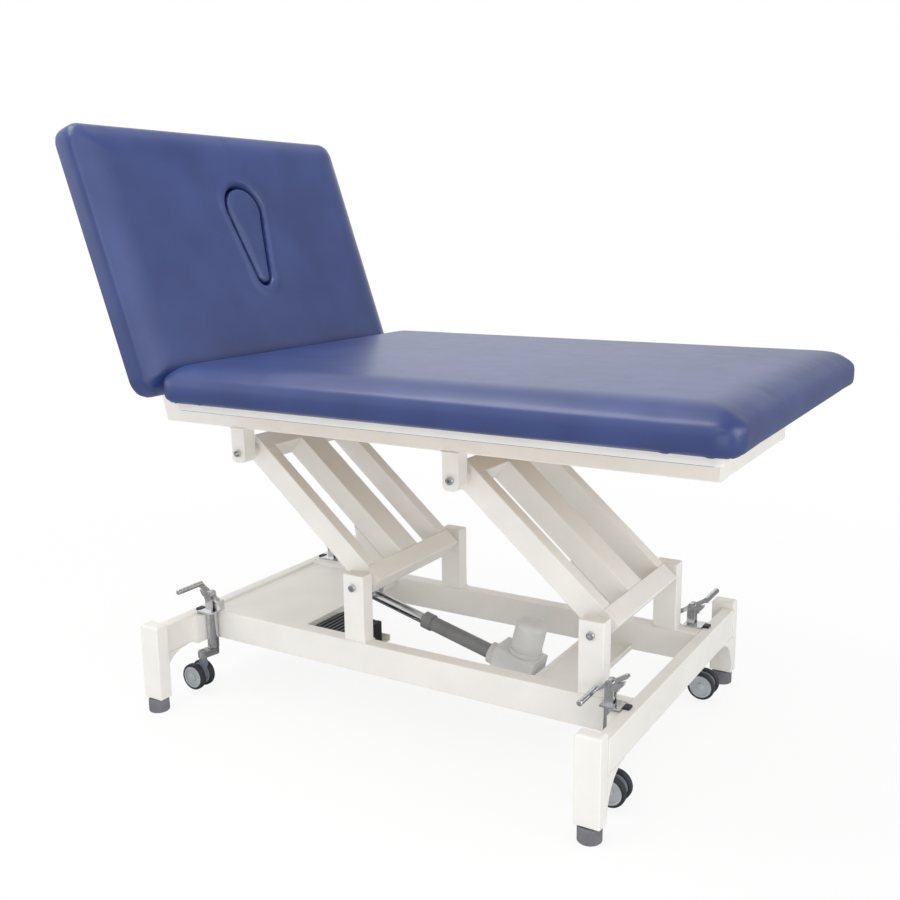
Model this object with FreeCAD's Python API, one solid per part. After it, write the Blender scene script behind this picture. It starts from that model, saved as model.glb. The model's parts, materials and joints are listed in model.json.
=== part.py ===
# Height-adjustable treatment table with a raised backrest, in millimetres.
# X runs from the head end to the foot end, Y across the table, Z up from the floor.
# The pieces are drawn about the middle of the base, and the last step moves them all along X,
# so that the origin lies on the floor under the middle of the whole table.
import FreeCAD, Part
import math
import os

from FreeCAD import Vector

# Base frame
base_length = 1258.0
base_width = 918.0
leg_length = 58.0
leg_width = 38.0
leg_bottom = 37.0
leg_top = 232.0
leg_wall = 3.0
leg_foot_plug = 24.0
leg_dome = 7.0
beam_thickness = 30.0
beam_bottom = 138.0
beam_height = 76.0
beam_wall = 3.0
gusset_radius = 90.0
frame_width = 500.0
tube_width = 40.0
tube_corner = 3.0

# Posts that carry the lifting arms
post_length = 60.0
post_wall = 4.0
foot_post_inset = 115.0
post_pitch = 626.0
post_over_pivot = 32.0
lower_pivot_z = 353.0

# Lifting arms, and the pivots at their ends
arm_length = 458.0
arm_angle = 40.9
arm_height = 60.0
arm_bar_width = 37.0
arm_gap = 23.0
arm_wall = 3.0
spine_width = 80.0
cross_tube_width = 48.0
cross_tube_wall = 4.0
cross_tube_plug = 42.0
bolt_diameter = 14.0
bolt_head_diameter = 19.0
bolt_head_height = 8.0
bolt_socket = 8.0
bolt_socket_depth = 4.8
bolt_head_edge = 2.0
bolt_reach = 36.0
bush_diameter = 20.0
bush_flange_diameter = 34.0
bush_reach = 34.0
running_clearance = 0.05
face_clearance = 0.3
press_clearance = 0.02

# Lever under the head arm, drawn in the arm's own line: along the arm, and square to it
lever_cheek = 6.0
lever_root_x = -165.9
lever_tip_root_x = 14.0
lever_eye_x = -25.5
lever_eye_z = -167.6
lever_lug_radius = 20.0
lever_lug_out_angle = -60.0
lever_lug_end_angle = 40.0
lever_scoop_x = -10.5
lever_scoop_z = -97.0
lever_web_share = 0.72
lever_pin_diameter = 12.0
pin_end_reach = 3.0
pin_chamfer = 1.0
gusset_plate_drop = 57.5
gusset_plate_foot_x = -116.2
gusset_plate_toe_x = -19.2
gusset_plate_toe_z = -69.5
gusset_web_root = 9.0

# Upper frame
rail_over_pivot = 65.0
top_rail_height = 80.0
top_rail_wall = 3.0
top_rail_head_x = -718.0
top_rail_foot_x = 778.0
top_rail_slant = 20.0
screw_hole_diameter = 10.0
end_tube_width = 40.0
head_tube_height = 30.0
bearer_width = 40.0
bearer_positions = (-380.0, 60.0, 480.0)
bracket_length = 42.0
bracket_under_pivot = 25.0
bracket_wall = 4.0
bracket_corner = 14.0

# Seat section
table_width = 1000.0
seat_head_x = -472.0
seat_foot_x = 884.0
board_thickness = 20.0
board_inset = 40.0
cushion_thickness = 85.0
cushion_corner = 30.0
cushion_top_radius = 28.0
cushion_bottom_radius = 14.0

# Backrest section, drawn lying flat and then turned up about its hinge
hinge_x = -520.0
hinge_over_board = 48.0
back_angle = 71.0
back_lower_overhang = 38.0
back_reach = 625.0
hinge_ear_thickness = 8.0
hinge_ear_radius = 16.0
hinge_ear_drop = 50.0
hinge_lug_radius = 15.0
hinge_lug_length = 52.0
hinge_pin_diameter = 12.0
hinge_pin_head = 4.0
hinge_pin_head_diameter = 19.0
hinge_ear_foot_radius = 24.0
hinge_pocket_clearance = 4.0
back_frame_tube = 30.0
back_frame_wall = 2.5
back_frame_reach = 560.0
back_cross_positions = (150.0, 520.0)

# Backrest stay, in millimetres and degrees
stay_radius = 140.0
stay_width = 22.0
stay_thickness = 6.0
stay_start = 218.0
stay_end = 317.0
stay_tongue = 30.0
stay_jaw_clearance = 0.4
stay_jaw_thickness = 8.0
stay_clamp_angle = 225.0
stay_bolt_gap = 9.0
stay_bolt_diameter = 8.0
jaw_outer_reach = 14.0
jaw_inner_reach = 15.0
jaw_height = 36.0
jaw_root_drop = 30.0
clamp_hub_diameter = 20.0
clamp_hub_length = 12.0
clamp_arm_diameter = 10.0
clamp_arm_length = 62.0
clamp_arm_angle = 250.0
clamp_knob_diameter = 24.0
clamp_nut_thickness = 6.0

# Face hole and the padded plug that fills it
face_top_centre = 402.0
face_top_radius = 64.0
face_tip_centre = 223.0
face_tip_radius = 25.0
plug_clearance = 1.0
plug_edge_radius = 8.0
board_ledge = 9.0

# Linear actuator between the base and the lever
motor_pin_from_post = 229.0
motor_pin_z = 108.0
motor_pin_diameter = 12.0
actuator_tube_diameter = 38.0
actuator_tube_end = 362.0
actuator_rod_diameter = 28.0
rod_overlap = 60.0
gear_length = 135.0
gear_width = 84.0
gear_low = -30.0
gear_high = 44.0
gear_corner = 12.0
motor_diameter = 78.0
motor_height = 86.0
motor_offset = 68.0
motor_dome = 16.0
actuator_lug_width = 30.0
actuator_lug_radius = 16.0
actuator_body_start = 22.0
actuator_body_edge = 4.0
actuator_lug_reach = 40.0
actuator_collar_diameter = 55.0
actuator_collar_length = 22.0
tube_socket_length = 40.0
tube_ring_diameter = 44.0
tube_ring_length = 26.0
motor_band = 2.5
motor_band_height = 12.0
rod_neck = 17.0
rod_eye_radius = 21.0
rod_eye_bore = 13.6
rod_eye_width = 29.0

# Plates and control box in the base
sheet = 3.0
cover_plate_length = 299.0
cover_plate_z = 204.0
sheet_lip = 14.0
motor_plate_from_pin = 14.0
motor_plate_length = 131.0
motor_plate_z = 138.0
ear_thickness = 6.0
ear_gap = 1.0
ear_foot_inset = 32.0
ear_foot_radius = 8.0
motor_plate_thickness = 6.0
box_from_beam = 303.0
box_length = 136.0
box_from_rail = 20.0
box_width = 130.0
box_bottom = 142.0
box_height = 54.0
box_rib_pitch = 14.0
box_groove = 6.0
box_groove_depth = 4.0
box_corner = 6.0
box_top_edge = 3.0
tray_margin = 14.0

# Levelling feet
pad_diameter = 52.0
pad_height = 34.0
pad_rim = 5.0
pad_foot_chamfer = 1.5
stem_diameter = 12.0
stem_clearance = 0.1
stem_reach = 34.0
lock_nut_diameter = 24.0

# Corner units: a guide barrel, a carrier that slides in it, a pedal, and a twin-wheel caster
guide_from_beam = 31.0
guide_from_rail = 16.0
guide_diameter = 30.0
guide_bottom = 117.0
guide_sliding_clearance = 0.08
block_width = 60.0
block_thickness = 20.0
block_under_beam_top = 4.0
web_thickness = 16.0
flange_thickness = 4.0
flange_width = 44.0
flange_inner_reach = 17.0
flange_outer_reach = 44.0
tab_width = 16.0
tab_cap_length = 13.0
tab_cap_wall = 2.0
plunger_diameter = 20.0
plunger_top = 208.0
push_rod_diameter = 10.0
push_gap = 0.3
push_head_thickness = 5.0
push_head_margin = 4.0
push_head_inner = 6.0
carrier_drop = 20.0
carrier_arm_bottom = 98.0
carrier_arm_height = 17.0
carrier_arm_radius = 13.0
carrier_root_radius = 14.0
caster_inset = 55.0
caster_from_guide = 35.0
caster_trail = 19.0
caster_stem_diameter = 11.0
caster_collar_diameter = 20.0
caster_collar_height = 10.0
caster_stem_end = 1.5
caster_neck_radius = 15.6
wheel_diameter = 70.0
wheel_width = 16.0
wheel_lift = 10.0
wheel_gap = 0.5
wheel_edge = 4.0
wheel_dish = 3.0
wheel_dish_radius = 24.0
wheel_boss_radius = 10.0
axle_diameter = 8.0
hood_width = 17.0
hood_radius = 26.0

# Pedals, in millimetres and degrees
pedal_pivot_height = 45.0
pedal_half_length = 43.0
pedal_angle = 32.0
pedal_swing = 80.0
pedal_bar_width = 12.0
pedal_bar_depth = 9.0
pedal_hub_radius = 9.0
pedal_pin_diameter = 8.0
pedal_cheek = 5.0
pedal_cheek_radius = 10.0
pedal_pin_end = 2.0
pedal_stop_height = 28.0
pedal_stop_thickness = 5.0
cam_rest_depth = 10.0
cam_steps = 16
grip_diameter = 14.0
grip_length = 87.0
grip_edge = 2.8

beam_top = beam_bottom + beam_height
frame_half = frame_width / 2
frame_inner = frame_half - tube_width
arm_half_width = frame_inner - arm_gap
leg_inner_y = base_width / 2 - leg_width
beam_inner_x = base_length / 2 - beam_thickness
upper_pivot_z = lower_pivot_z + arm_length * math.sin(math.radians(arm_angle))
upper_pivot_shift = -arm_length * math.cos(math.radians(arm_angle))
foot_post_x = base_length / 2 - foot_post_inset
head_post_x = foot_post_x - post_pitch
motor_pin_x = foot_post_x - motor_pin_from_post
motor_plate_x = motor_pin_x + motor_plate_from_pin
cover_plate_foot_x = cover_plate_length - beam_inner_x
box_head_x = box_from_beam - beam_inner_x
box_near_y = box_from_rail - frame_inner
guide_x = beam_inner_x - guide_from_beam
guide_y = frame_half + guide_from_rail
guide_top = beam_top
caster_x = base_length / 2 - caster_inset
caster_y = guide_y + caster_from_guide
pedal_pivot_z = beam_top + flange_thickness + pedal_pivot_height
cam_rate = carrier_drop / math.radians(pedal_swing)
rail_bottom = upper_pivot_z + rail_over_pivot
rail_top = rail_bottom + top_rail_height
board_top = rail_top + board_thickness
hinge_z = board_top + hinge_over_board
cushion_top = board_top + cushion_thickness
ear_inner_y = frame_inner - hinge_ear_thickness
lug_outer_y = ear_inner_y - face_clearance
lug_inner_y = lug_outer_y - hinge_ear_thickness


def box(x, y, z):
    # A box from three pairs of low and high limits.
    return Part.makeBox(x[1] - x[0], y[1] - y[0], z[1] - z[0], Vector(x[0], y[0], z[0]))


def cylinder(radius, centre, direction, length):
    return Part.makeCylinder(radius, length, Vector(*centre), Vector(*direction))


def runs_along(edge, axis):
    # True for a straight edge that lies along the named axis.
    if edge.Curve.TypeId != "Part::GeomLine":
        return False
    direction = edge.tangentAt(edge.FirstParameter)
    return abs(getattr(direction, axis)) > 0.999


def round_along(shape, axis, radius):
    # Round every straight edge that lies along one axis.
    return shape.makeFillet(radius, [edge for edge in shape.Edges if runs_along(edge, axis)])


def edges_at(shape, axis, value):
    # The edges that lie wholly in the plane where one coordinate has the given value.
    low = axis + "Min"
    high = axis + "Max"
    found = []
    for edge in shape.Edges:
        limits = edge.BoundBox
        if abs(getattr(limits, low) - value) < 0.01 and abs(getattr(limits, high) - value) < 0.01:
            found.append(edge)
    return found


def round_at(shape, axis, value, radius):
    return shape.makeFillet(radius, edges_at(shape, axis, value))


def square_tube(x, y, z, wall, axis):
    # A rectangular tube, open at both ends, with rounded corners along its length.
    limits = {"x": x, "y": y, "z": z}
    inner = {}
    for name, (low, high) in limits.items():
        step = 0.0 if name == axis else wall
        inner[name] = (low + step, high - step)
    outer = round_along(box(x, y, z), axis, tube_corner)
    return outer.cut(box(inner["x"], inner["y"], inner["z"]))


def plate(points, y):
    # A plate in the XZ plane through the listed points, as thick as the pair of Y limits.
    corners = [Vector(px, y[0], pz) for px, pz in points]
    face = Part.Face(Part.makePolygon(corners + corners[:1]))
    return face.extrude(Vector(0, y[1] - y[0], 0))


def capsule(first, first_radius, second, second_radius, depth):
    # The rounded shape round two circles in one plane, pulled through the depth vector.
    start = Vector(*first)
    end = Vector(*second)
    along = end - start
    axis = Vector(*depth).normalize()
    side = axis.cross(along.normalize())
    distance = (end - start).Length
    lean = math.asin((first_radius - second_radius) / distance)
    unit = (end - start).normalize()
    normal = unit * math.sin(lean) + side * math.cos(lean)
    other = unit * math.sin(lean) - side * math.cos(lean)
    p1 = start + normal * first_radius
    p2 = end + normal * second_radius
    p3 = end + unit * second_radius
    p4 = end + other * second_radius
    p5 = start + other * first_radius
    p6 = start - unit * first_radius
    edges = [
        Part.LineSegment(p1, p2).toShape(),
        Part.Arc(p2, p3, p4).toShape(),
        Part.LineSegment(p4, p5).toShape(),
        Part.Arc(p5, p6, p1).toShape(),
    ]
    return Part.Face(Part.Wire(edges)).extrude(Vector(*depth))


def mirror_y(shape):
    return shape.mirror(Vector(0, 0, 0), Vector(0, 1, 0))


def mirror_x(shape):
    return shape.mirror(Vector(0, 0, 0), Vector(1, 0, 0))


def both_sides(shape):
    return [shape, mirror_y(shape)]


def at_four_corners(shape):
    # The near head-end shape, copied to all four corners.
    pair = both_sides(shape)
    return pair + [mirror_x(piece) for piece in pair]


def turned(shape, x, z, angle):
    # The shape, turned about a cross axis through (x, z); a positive angle lifts the head side.
    copy = shape.copy()
    copy.rotate(Vector(x, 0, z), Vector(0, 1, 0), angle)
    return copy


def arm_placed(shape, pivot_x):
    # A shape drawn along a level arm with its lower pivot at zero, set in its place.
    copy = shape.copy()
    copy.translate(Vector(pivot_x, 0, lower_pivot_z))
    return turned(copy, pivot_x, lower_pivot_z, arm_angle)


def base_rails():
    z = (beam_bottom, beam_top)
    rail = square_tube((-beam_inner_x, beam_inner_x), (-frame_half, -frame_inner), z, beam_wall, "x")
    return both_sides(rail)


def cross_beams():
    x = (-base_length / 2, -beam_inner_x)
    beam = square_tube(x, (-leg_inner_y, leg_inner_y), (beam_bottom, beam_top), beam_wall, "y")
    return [beam, mirror_x(beam)]


def legs():
    x = (-base_length / 2, -base_length / 2 + leg_length)
    y = (-base_width / 2, -leg_inner_y)
    leg = round_along(box(x, y, (leg_bottom, leg_top)), "z", tube_corner)
    leg = round_at(leg, "Z", leg_top, leg_dome)
    hollow = box(
        (x[0] + leg_wall, x[1] - leg_wall),
        (y[0] + leg_wall, y[1] - leg_wall),
        (leg_bottom + leg_foot_plug, leg_top - leg_dome - leg_wall),
    )
    leg = leg.cut(hollow)
    stem_x = (x[0] + x[1]) / 2
    stem_y = (y[0] + y[1]) / 2
    foot = (stem_x, stem_y, leg_bottom)
    bore = cylinder(stem_diameter / 2 + stem_clearance, foot, (0, 0, 1), leg_foot_plug)
    leg = leg.cut(bore)
    return at_four_corners(leg.fuse(leg_gusset()).removeSplitter())


def leg_gusset():
    # The web between the leg and the cross beam, hollowed by an arc.
    x = (-base_length / 2, -beam_inner_x)
    y = (-leg_inner_y, -leg_inner_y + gusset_radius)
    z = (beam_bottom - gusset_radius, beam_bottom)
    block = box(x, y, z)
    scoop = cylinder(gusset_radius, (x[0], y[1], z[0]), (1, 0, 0), beam_thickness)
    return block.cut(scoop)


def posts():
    found = []
    for centre in (head_post_x, foot_post_x):
        x = (centre - post_length / 2, centre + post_length / 2)
        y = (-frame_half, -frame_inner)
        top = lower_pivot_z + post_over_pivot
        post = round_along(box(x, y, (beam_top, top)), "z", tube_corner)
        post = round_at(post, "Z", top, tube_corner)
        hollow = box(
            (x[0] + post_wall, x[1] - post_wall),
            (y[0] + post_wall, y[1] - post_wall),
            (beam_top, top - post_wall),
        )
        start = (centre, -frame_half, lower_pivot_z)
        bore = cylinder(bolt_diameter / 2 + press_clearance, start, (0, 1, 0), tube_width)
        found += both_sides(post.cut(hollow).cut(bore))
    return found


def pivot_bolt(x, z):
    # A shouldered bolt with a socket head, from the outer face of the frame into the arm.
    head_y = -frame_half - bolt_head_height
    end_y = -arm_half_width + bolt_reach
    shank = cylinder(bolt_diameter / 2, (x, -frame_half, z), (0, 1, 0), end_y + frame_half)
    head = cylinder(bolt_head_diameter / 2, (x, head_y, z), (0, 1, 0), bolt_head_height)
    head = round_at(head, "Y", head_y, bolt_head_edge)
    socket = hexagon(x, z, head_y, bolt_socket, bolt_socket_depth)
    return both_sides(shank.fuse(head).cut(socket).removeSplitter())


def hexagon(x, z, y, across_flats, depth):
    radius = across_flats / math.sqrt(3)
    points = []
    for index in range(6):
        angle = math.radians(60 * index)
        points.append((x + radius * math.cos(angle), z + radius * math.sin(angle)))
    return plate(points, (y, y + depth))


def lower_pivot_bolts():
    return pivot_bolt(head_post_x, lower_pivot_z) + pivot_bolt(foot_post_x, lower_pivot_z)


def upper_pivot_bolts():
    head = pivot_bolt(head_post_x + upper_pivot_shift, upper_pivot_z)
    return head + pivot_bolt(foot_post_x + upper_pivot_shift, upper_pivot_z)


def arm_bars(pivot_x):
    # Two side bars and a wide spine between the cross tubes.
    x = (-arm_length + cross_tube_width / 2, -cross_tube_width / 2)
    z = (-arm_height / 2, arm_height / 2)
    side = square_tube(x, (-arm_half_width, -arm_half_width + arm_bar_width), z, arm_wall, "x")
    spine = square_tube(x, (-spine_width / 2, spine_width / 2), z, arm_wall, "x")
    return [arm_placed(piece, pivot_x) for piece in both_sides(side) + [spine]]


def arm_cross_tubes(pivot_x):
    # The tubes at the two ends of an arm, plugged where the bushes are pressed in.
    half = cross_tube_width / 2
    z = (-arm_height / 2, arm_height / 2)
    tube = round_along(box((-half, half), (-arm_half_width, arm_half_width), z), "y", tube_corner)
    hollow = box(
        (-half + cross_tube_wall, half - cross_tube_wall),
        (-arm_half_width + cross_tube_plug, arm_half_width - cross_tube_plug),
        (z[0] + cross_tube_wall, z[1] - cross_tube_wall),
    )
    tube = tube.cut(hollow)
    for side in (-1, 1):
        start = (0, side * arm_half_width, 0)
        inward = (0, -side, 0)
        tube = tube.cut(cylinder(bush_diameter / 2 + press_clearance, start, inward, bush_reach))
        tube = tube.cut(cylinder(bolt_diameter / 2 + running_clearance, start, inward, cross_tube_plug))
    far = tube.copy()
    far.translate(Vector(-arm_length, 0, 0))
    return [arm_placed(tube, pivot_x), arm_placed(far, pivot_x)]


def arm_bushes(pivot_x):
    # A flanged bush at each end of each cross tube; the flange fills the gap to the frame.
    flange_length = arm_gap - face_clearance
    bushes = []
    for end_x in (0, -arm_length):
        face = (end_x, -arm_half_width - flange_length, 0)
        flange = cylinder(bush_flange_diameter / 2, face, (0, 1, 0), flange_length)
        sleeve = cylinder(bush_diameter / 2, (end_x, -arm_half_width, 0), (0, 1, 0), bush_reach)
        bore_radius = bolt_diameter / 2 + running_clearance
        bore = cylinder(bore_radius, face, (0, 1, 0), flange_length + bush_reach)
        bushes += both_sides(flange.fuse(sleeve).cut(bore).removeSplitter())
    return [arm_placed(bush, pivot_x) for bush in bushes]


def on_circle(centre, radius, angle):
    # A point of a circle in the XZ plane.
    turn = math.radians(angle)
    return (centre[0] + radius * math.cos(turn), centre[1] + radius * math.sin(turn))


def tangent_point(outside, centre, radius, side):
    # Where the line from an outside point touches a circle in the XZ plane.
    dx = outside[0] - centre[0]
    dz = outside[1] - centre[1]
    distance = math.hypot(dx, dz)
    turn = math.atan2(dz, dx) + side * math.acos(radius / distance)
    return on_circle(centre, radius, math.degrees(turn))


def lift_lever():
    # Two cheeks under the spine that end in the actuator's eye, joined by a web at the front.
    root_z = -arm_height / 2
    eye = (lever_eye_x, lever_eye_z)
    root = (lever_root_x, root_z)
    touch = tangent_point(root, eye, lever_lug_radius, -1)
    lug_out = on_circle(eye, lever_lug_radius, lever_lug_out_angle)
    lug_end = on_circle(eye, lever_lug_radius, lever_lug_end_angle)
    low_y = -spine_width / 2
    points = [Vector(px, low_y, pz) for px, pz in (root, touch, lug_out, lug_end)]
    scoop = Vector(lever_scoop_x, low_y, lever_scoop_z)
    tip = Vector(lever_tip_root_x, low_y, root_z)
    edges = [
        Part.LineSegment(points[0], points[1]).toShape(),
        Part.Arc(points[1], points[2], points[3]).toShape(),
        Part.Arc(points[3], scoop, tip).toShape(),
        Part.LineSegment(tip, points[0]).toShape(),
    ]
    cheek = Part.Face(Part.Wire(edges)).extrude(Vector(0, lever_cheek, 0))
    pin_start = (eye[0], low_y, eye[1])
    pin_bore = cylinder(lever_pin_diameter / 2 + press_clearance, pin_start, (0, 1, 0), spine_width)
    web_end = (
        root[0] + (touch[0] - root[0]) * lever_web_share,
        root[1] + (touch[1] - root[1]) * lever_web_share,
    )
    inward = (touch[1] - root[1], root[0] - touch[0])
    size = math.hypot(*inward)
    step = (-inward[0] / size * lever_cheek, -inward[1] / size * lever_cheek)
    web = plate(
        [root, web_end, (web_end[0] + step[0], web_end[1] + step[1]), (root[0] + step[0], root[1] + step[1])],
        (low_y, -low_y),
    )
    lever = cheek.fuse(mirror_y(cheek)).fuse(web)
    lever = lever.cut(box((lever_root_x - spine_width, spine_width), (low_y, -low_y), (root_z, 0)))
    return [arm_placed(lever.cut(pin_bore).removeSplitter(), head_post_x)]


def chamfered_pin(diameter, x, z, half):
    # A cross pin with a small chamfer at each end.
    pin = cylinder(diameter / 2, (x, -half, z), (0, 1, 0), 2 * half)
    return pin.makeChamfer(pin_chamfer, edges_at(pin, "Y", -half) + edges_at(pin, "Y", half))


def lever_pin():
    half = spine_width / 2 + pin_end_reach
    return [arm_placed(chamfered_pin(lever_pin_diameter, lever_eye_x, lever_eye_z, half), head_post_x)]


def foot_arm_gusset():
    # The folded stiffener under the spine of the foot-end arm.
    root_z = -arm_height / 2
    outline = [
        (lever_root_x, root_z),
        (gusset_plate_foot_x, root_z - gusset_plate_drop),
        (gusset_plate_toe_x, gusset_plate_toe_z),
        (cross_tube_width / 2, root_z),
    ]
    half = spine_width / 2
    cheek = plate(outline, (-half, -half + lever_cheek))
    web = plate(
        [
            outline[0],
            outline[1],
            (outline[1][0] + lever_cheek, outline[1][1]),
            (outline[0][0] + gusset_web_root, outline[0][1]),
        ],
        (-half, half),
    )
    return [arm_placed(cheek.fuse(mirror_y(cheek)).fuse(web).removeSplitter(), foot_post_x)]


def top_rails():
    # Box rails with a slanted head end, and holes underneath for the screws into the board.
    outline = [
        (top_rail_head_x, rail_top),
        (top_rail_head_x + top_rail_slant, rail_bottom),
        (top_rail_foot_x, rail_bottom),
        (top_rail_foot_x, rail_top),
    ]
    rail = round_along(plate(outline, (-frame_half, -frame_inner)), "x", tube_corner)
    hollow = box(
        (top_rail_head_x + top_rail_slant + top_rail_wall, top_rail_foot_x - top_rail_wall),
        (-frame_half + top_rail_wall, -frame_inner - top_rail_wall),
        (rail_bottom + top_rail_wall, rail_top - top_rail_wall),
    )
    rail = rail.cut(hollow)
    for position in bearer_positions:
        centre = (position + bearer_width, -frame_half + tube_width / 2, rail_bottom)
        rail = rail.cut(cylinder(screw_hole_diameter / 2, centre, (0, 0, 1), top_rail_wall))
    return both_sides(rail)


def top_end_tubes():
    foot = square_tube(
        (top_rail_foot_x - end_tube_width, top_rail_foot_x),
        (-frame_inner, frame_inner),
        (rail_bottom, rail_top),
        top_rail_wall,
        "y",
    )
    head_x = top_rail_head_x + top_rail_slant
    head = square_tube(
        (head_x, head_x + end_tube_width),
        (-frame_inner, frame_inner),
        (rail_bottom, rail_bottom + head_tube_height),
        top_rail_wall,
        "y",
    )
    return [foot, head]


def seat_bearers():
    found = []
    for position in bearer_positions:
        x = (position - bearer_width / 2, position + bearer_width / 2)
        z = (rail_top - bearer_width, rail_top)
        found.append(square_tube(x, (-frame_inner, frame_inner), z, top_rail_wall, "y"))
    return found


def top_brackets():
    # Short tubes that hang from the rails and hold the upper pivots.
    found = []
    for centre in (head_post_x + upper_pivot_shift, foot_post_x + upper_pivot_shift):
        x = (centre - bracket_length / 2, centre + bracket_length / 2)
        low = upper_pivot_z - bracket_under_pivot
        bracket = box(x, (-frame_half, -frame_inner), (low, rail_bottom))
        lower_edges = [edge for edge in edges_at(bracket, "Z", low) if runs_along(edge, "y")]
        bracket = bracket.makeFillet(bracket_corner, lower_edges)
        hollow = box(
            (x[0] + bracket_wall, x[1] - bracket_wall),
            (-frame_half + bracket_wall, -frame_inner - bracket_wall),
            (low + bracket_corner, rail_bottom),
        )
        start = (centre, -frame_half, upper_pivot_z)
        bore = cylinder(bolt_diameter / 2 + press_clearance, start, (0, 1, 0), tube_width)
        found += both_sides(bracket.cut(hollow).cut(bore))
    return found


def seat_board():
    x = (seat_head_x + board_inset / 2, seat_foot_x - board_inset)
    half = table_width / 2 - board_inset
    board = box(x, (-half, half), (rail_top, board_top))
    return [round_along(board, "z", cushion_corner / 2)]


def cushion(x, z):
    # A soft block with rounded corners, a large radius round its top and a small one below.
    half = table_width / 2
    block = round_along(box(x, (-half, half), z), "z", cushion_corner)
    block = round_at(block, "Z", z[1], cushion_top_radius)
    return round_at(block, "Z", z[0], cushion_bottom_radius)


def seat_cushion():
    return [cushion((seat_head_x, seat_foot_x), (board_top, cushion_top))]


def face_outline(margin, low, high):
    # The drop-shaped hole for the face, shrunk by a margin, between two heights.
    return capsule(
        (hinge_x - face_top_centre, 0, low),
        face_top_radius - margin,
        (hinge_x - face_tip_centre, 0, low),
        face_tip_radius - margin,
        (0, 0, high - low),
    )


def hinge_pockets(low):
    # The two slots in the lower end of the backrest that clear the hinge ears and lugs.
    x = (hinge_x - hinge_lug_length - hinge_pocket_clearance, hinge_x + back_lower_overhang)
    y = (-frame_inner - 2 * hinge_pocket_clearance, -lug_inner_y + 2 * hinge_pocket_clearance)
    z = (low, hinge_z + hinge_ear_radius + hinge_pocket_clearance)
    return both_sides(box(x, y, z))


def raised(shape):
    return turned(shape, hinge_x, hinge_z, back_angle)


def back_board():
    x = (hinge_x - back_reach + board_inset, hinge_x + back_lower_overhang - board_inset)
    half = table_width / 2 - board_inset
    board = round_along(box(x, (-half, half), (rail_top, board_top)), "z", cushion_corner / 2)
    for pocket in hinge_pockets(rail_top):
        board = board.cut(pocket)
    board = board.cut(face_outline(board_ledge, rail_top, board_top))
    return [raised(board)]


def back_cushion():
    pad = cushion((hinge_x - back_reach, hinge_x + back_lower_overhang), (board_top, cushion_top))
    for pocket in hinge_pockets(board_top):
        pad = pad.cut(pocket)
    pad = pad.cut(face_outline(0, board_top, cushion_top))
    return [raised(pad)]


def face_plug():
    plug = face_outline(plug_clearance, board_top, cushion_top)
    return [raised(round_at(plug, "Z", cushion_top, plug_edge_radius))]


def back_frame():
    # Two long tubes under the board and two cross tubes between them.
    z = (rail_top - back_frame_tube, rail_top)
    x = (hinge_x - back_frame_reach, hinge_x - face_clearance)
    outer = lug_inner_y
    side = square_tube(x, (-outer, -outer + back_frame_tube), z, back_frame_wall, "x")
    found = both_sides(side)
    inner = outer - back_frame_tube
    for position in back_cross_positions:
        centre = hinge_x - position
        cross_x = (centre - back_frame_tube / 2, centre + back_frame_tube / 2)
        found.append(square_tube(cross_x, (-inner, inner), z, back_frame_wall, "y"))
    return [raised(piece) for piece in found]


def around_hinge(radius, angle):
    # A point about the backrest's hinge, in the XZ plane, with the backrest flat.
    turn = math.radians(angle)
    return (hinge_x + radius * math.cos(turn), hinge_z + radius * math.sin(turn))


def stay_quadrant():
    # A flat arc about the hinge, welded to the backrest's lower cross tube, that runs in the clamp's jaws.
    low_y = -stay_thickness / 2
    inner = stay_radius - stay_width / 2
    outer = stay_radius + stay_width / 2
    middle = (stay_start + stay_end) / 2
    rims = []
    for radius in (outer, inner):
        ends = [around_hinge(radius, angle) for angle in (stay_start, middle, stay_end)]
        rims.append([Vector(x, low_y, z) for x, z in ends])
    cap_start = around_hinge(stay_radius, stay_end)
    cap_turn = math.radians(stay_end + 90.0)
    half = stay_width / 2
    cap = Vector(cap_start[0] + half * math.cos(cap_turn), low_y, cap_start[1] + half * math.sin(cap_turn))
    edges = [
        Part.Arc(*rims[0]).toShape(),
        Part.Arc(rims[0][2], cap, rims[1][2]).toShape(),
        Part.Arc(*reversed(rims[1])).toShape(),
        Part.LineSegment(rims[1][0], rims[0][0]).toShape(),
    ]
    arc = Part.Face(Part.Wire(edges)).extrude(Vector(0, stay_thickness, 0))
    tube_face = hinge_x - back_cross_positions[0] + back_frame_tube / 2
    tongue_x = (tube_face, tube_face + stay_tongue)
    tongue = box(tongue_x, (low_y, -low_y), (rail_top - back_frame_tube, around_hinge(inner, stay_start)[1]))
    return [raised(arc.fuse(tongue).removeSplitter())]


def stay_bolt_place():
    return around_hinge(stay_radius + stay_width / 2 + stay_bolt_gap, stay_clamp_angle)


def stay_jaws():
    # Two plates on the head end tube, one on each side of the arc, bored for the clamp's bolt.
    x, z = stay_bolt_place()
    tube_face = top_rail_head_x + top_rail_slant + end_tube_width
    outline = [
        (tube_face, z - jaw_root_drop),
        (tube_face, z - face_clearance),
        (x - jaw_outer_reach, z + jaw_outer_reach),
        (x - jaw_outer_reach, z + jaw_height),
        (x + jaw_inner_reach * 2, z + jaw_height),
        (x + jaw_inner_reach * 2, z),
        (x + jaw_inner_reach, z - jaw_root_drop),
    ]
    low = stay_thickness / 2 + stay_jaw_clearance
    jaw = plate(outline, (low, low + stay_jaw_thickness))
    bore = cylinder(stay_bolt_diameter / 2 + running_clearance, (x, low, z), (0, 1, 0), stay_jaw_thickness)
    return both_sides(jaw.cut(bore))


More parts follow.
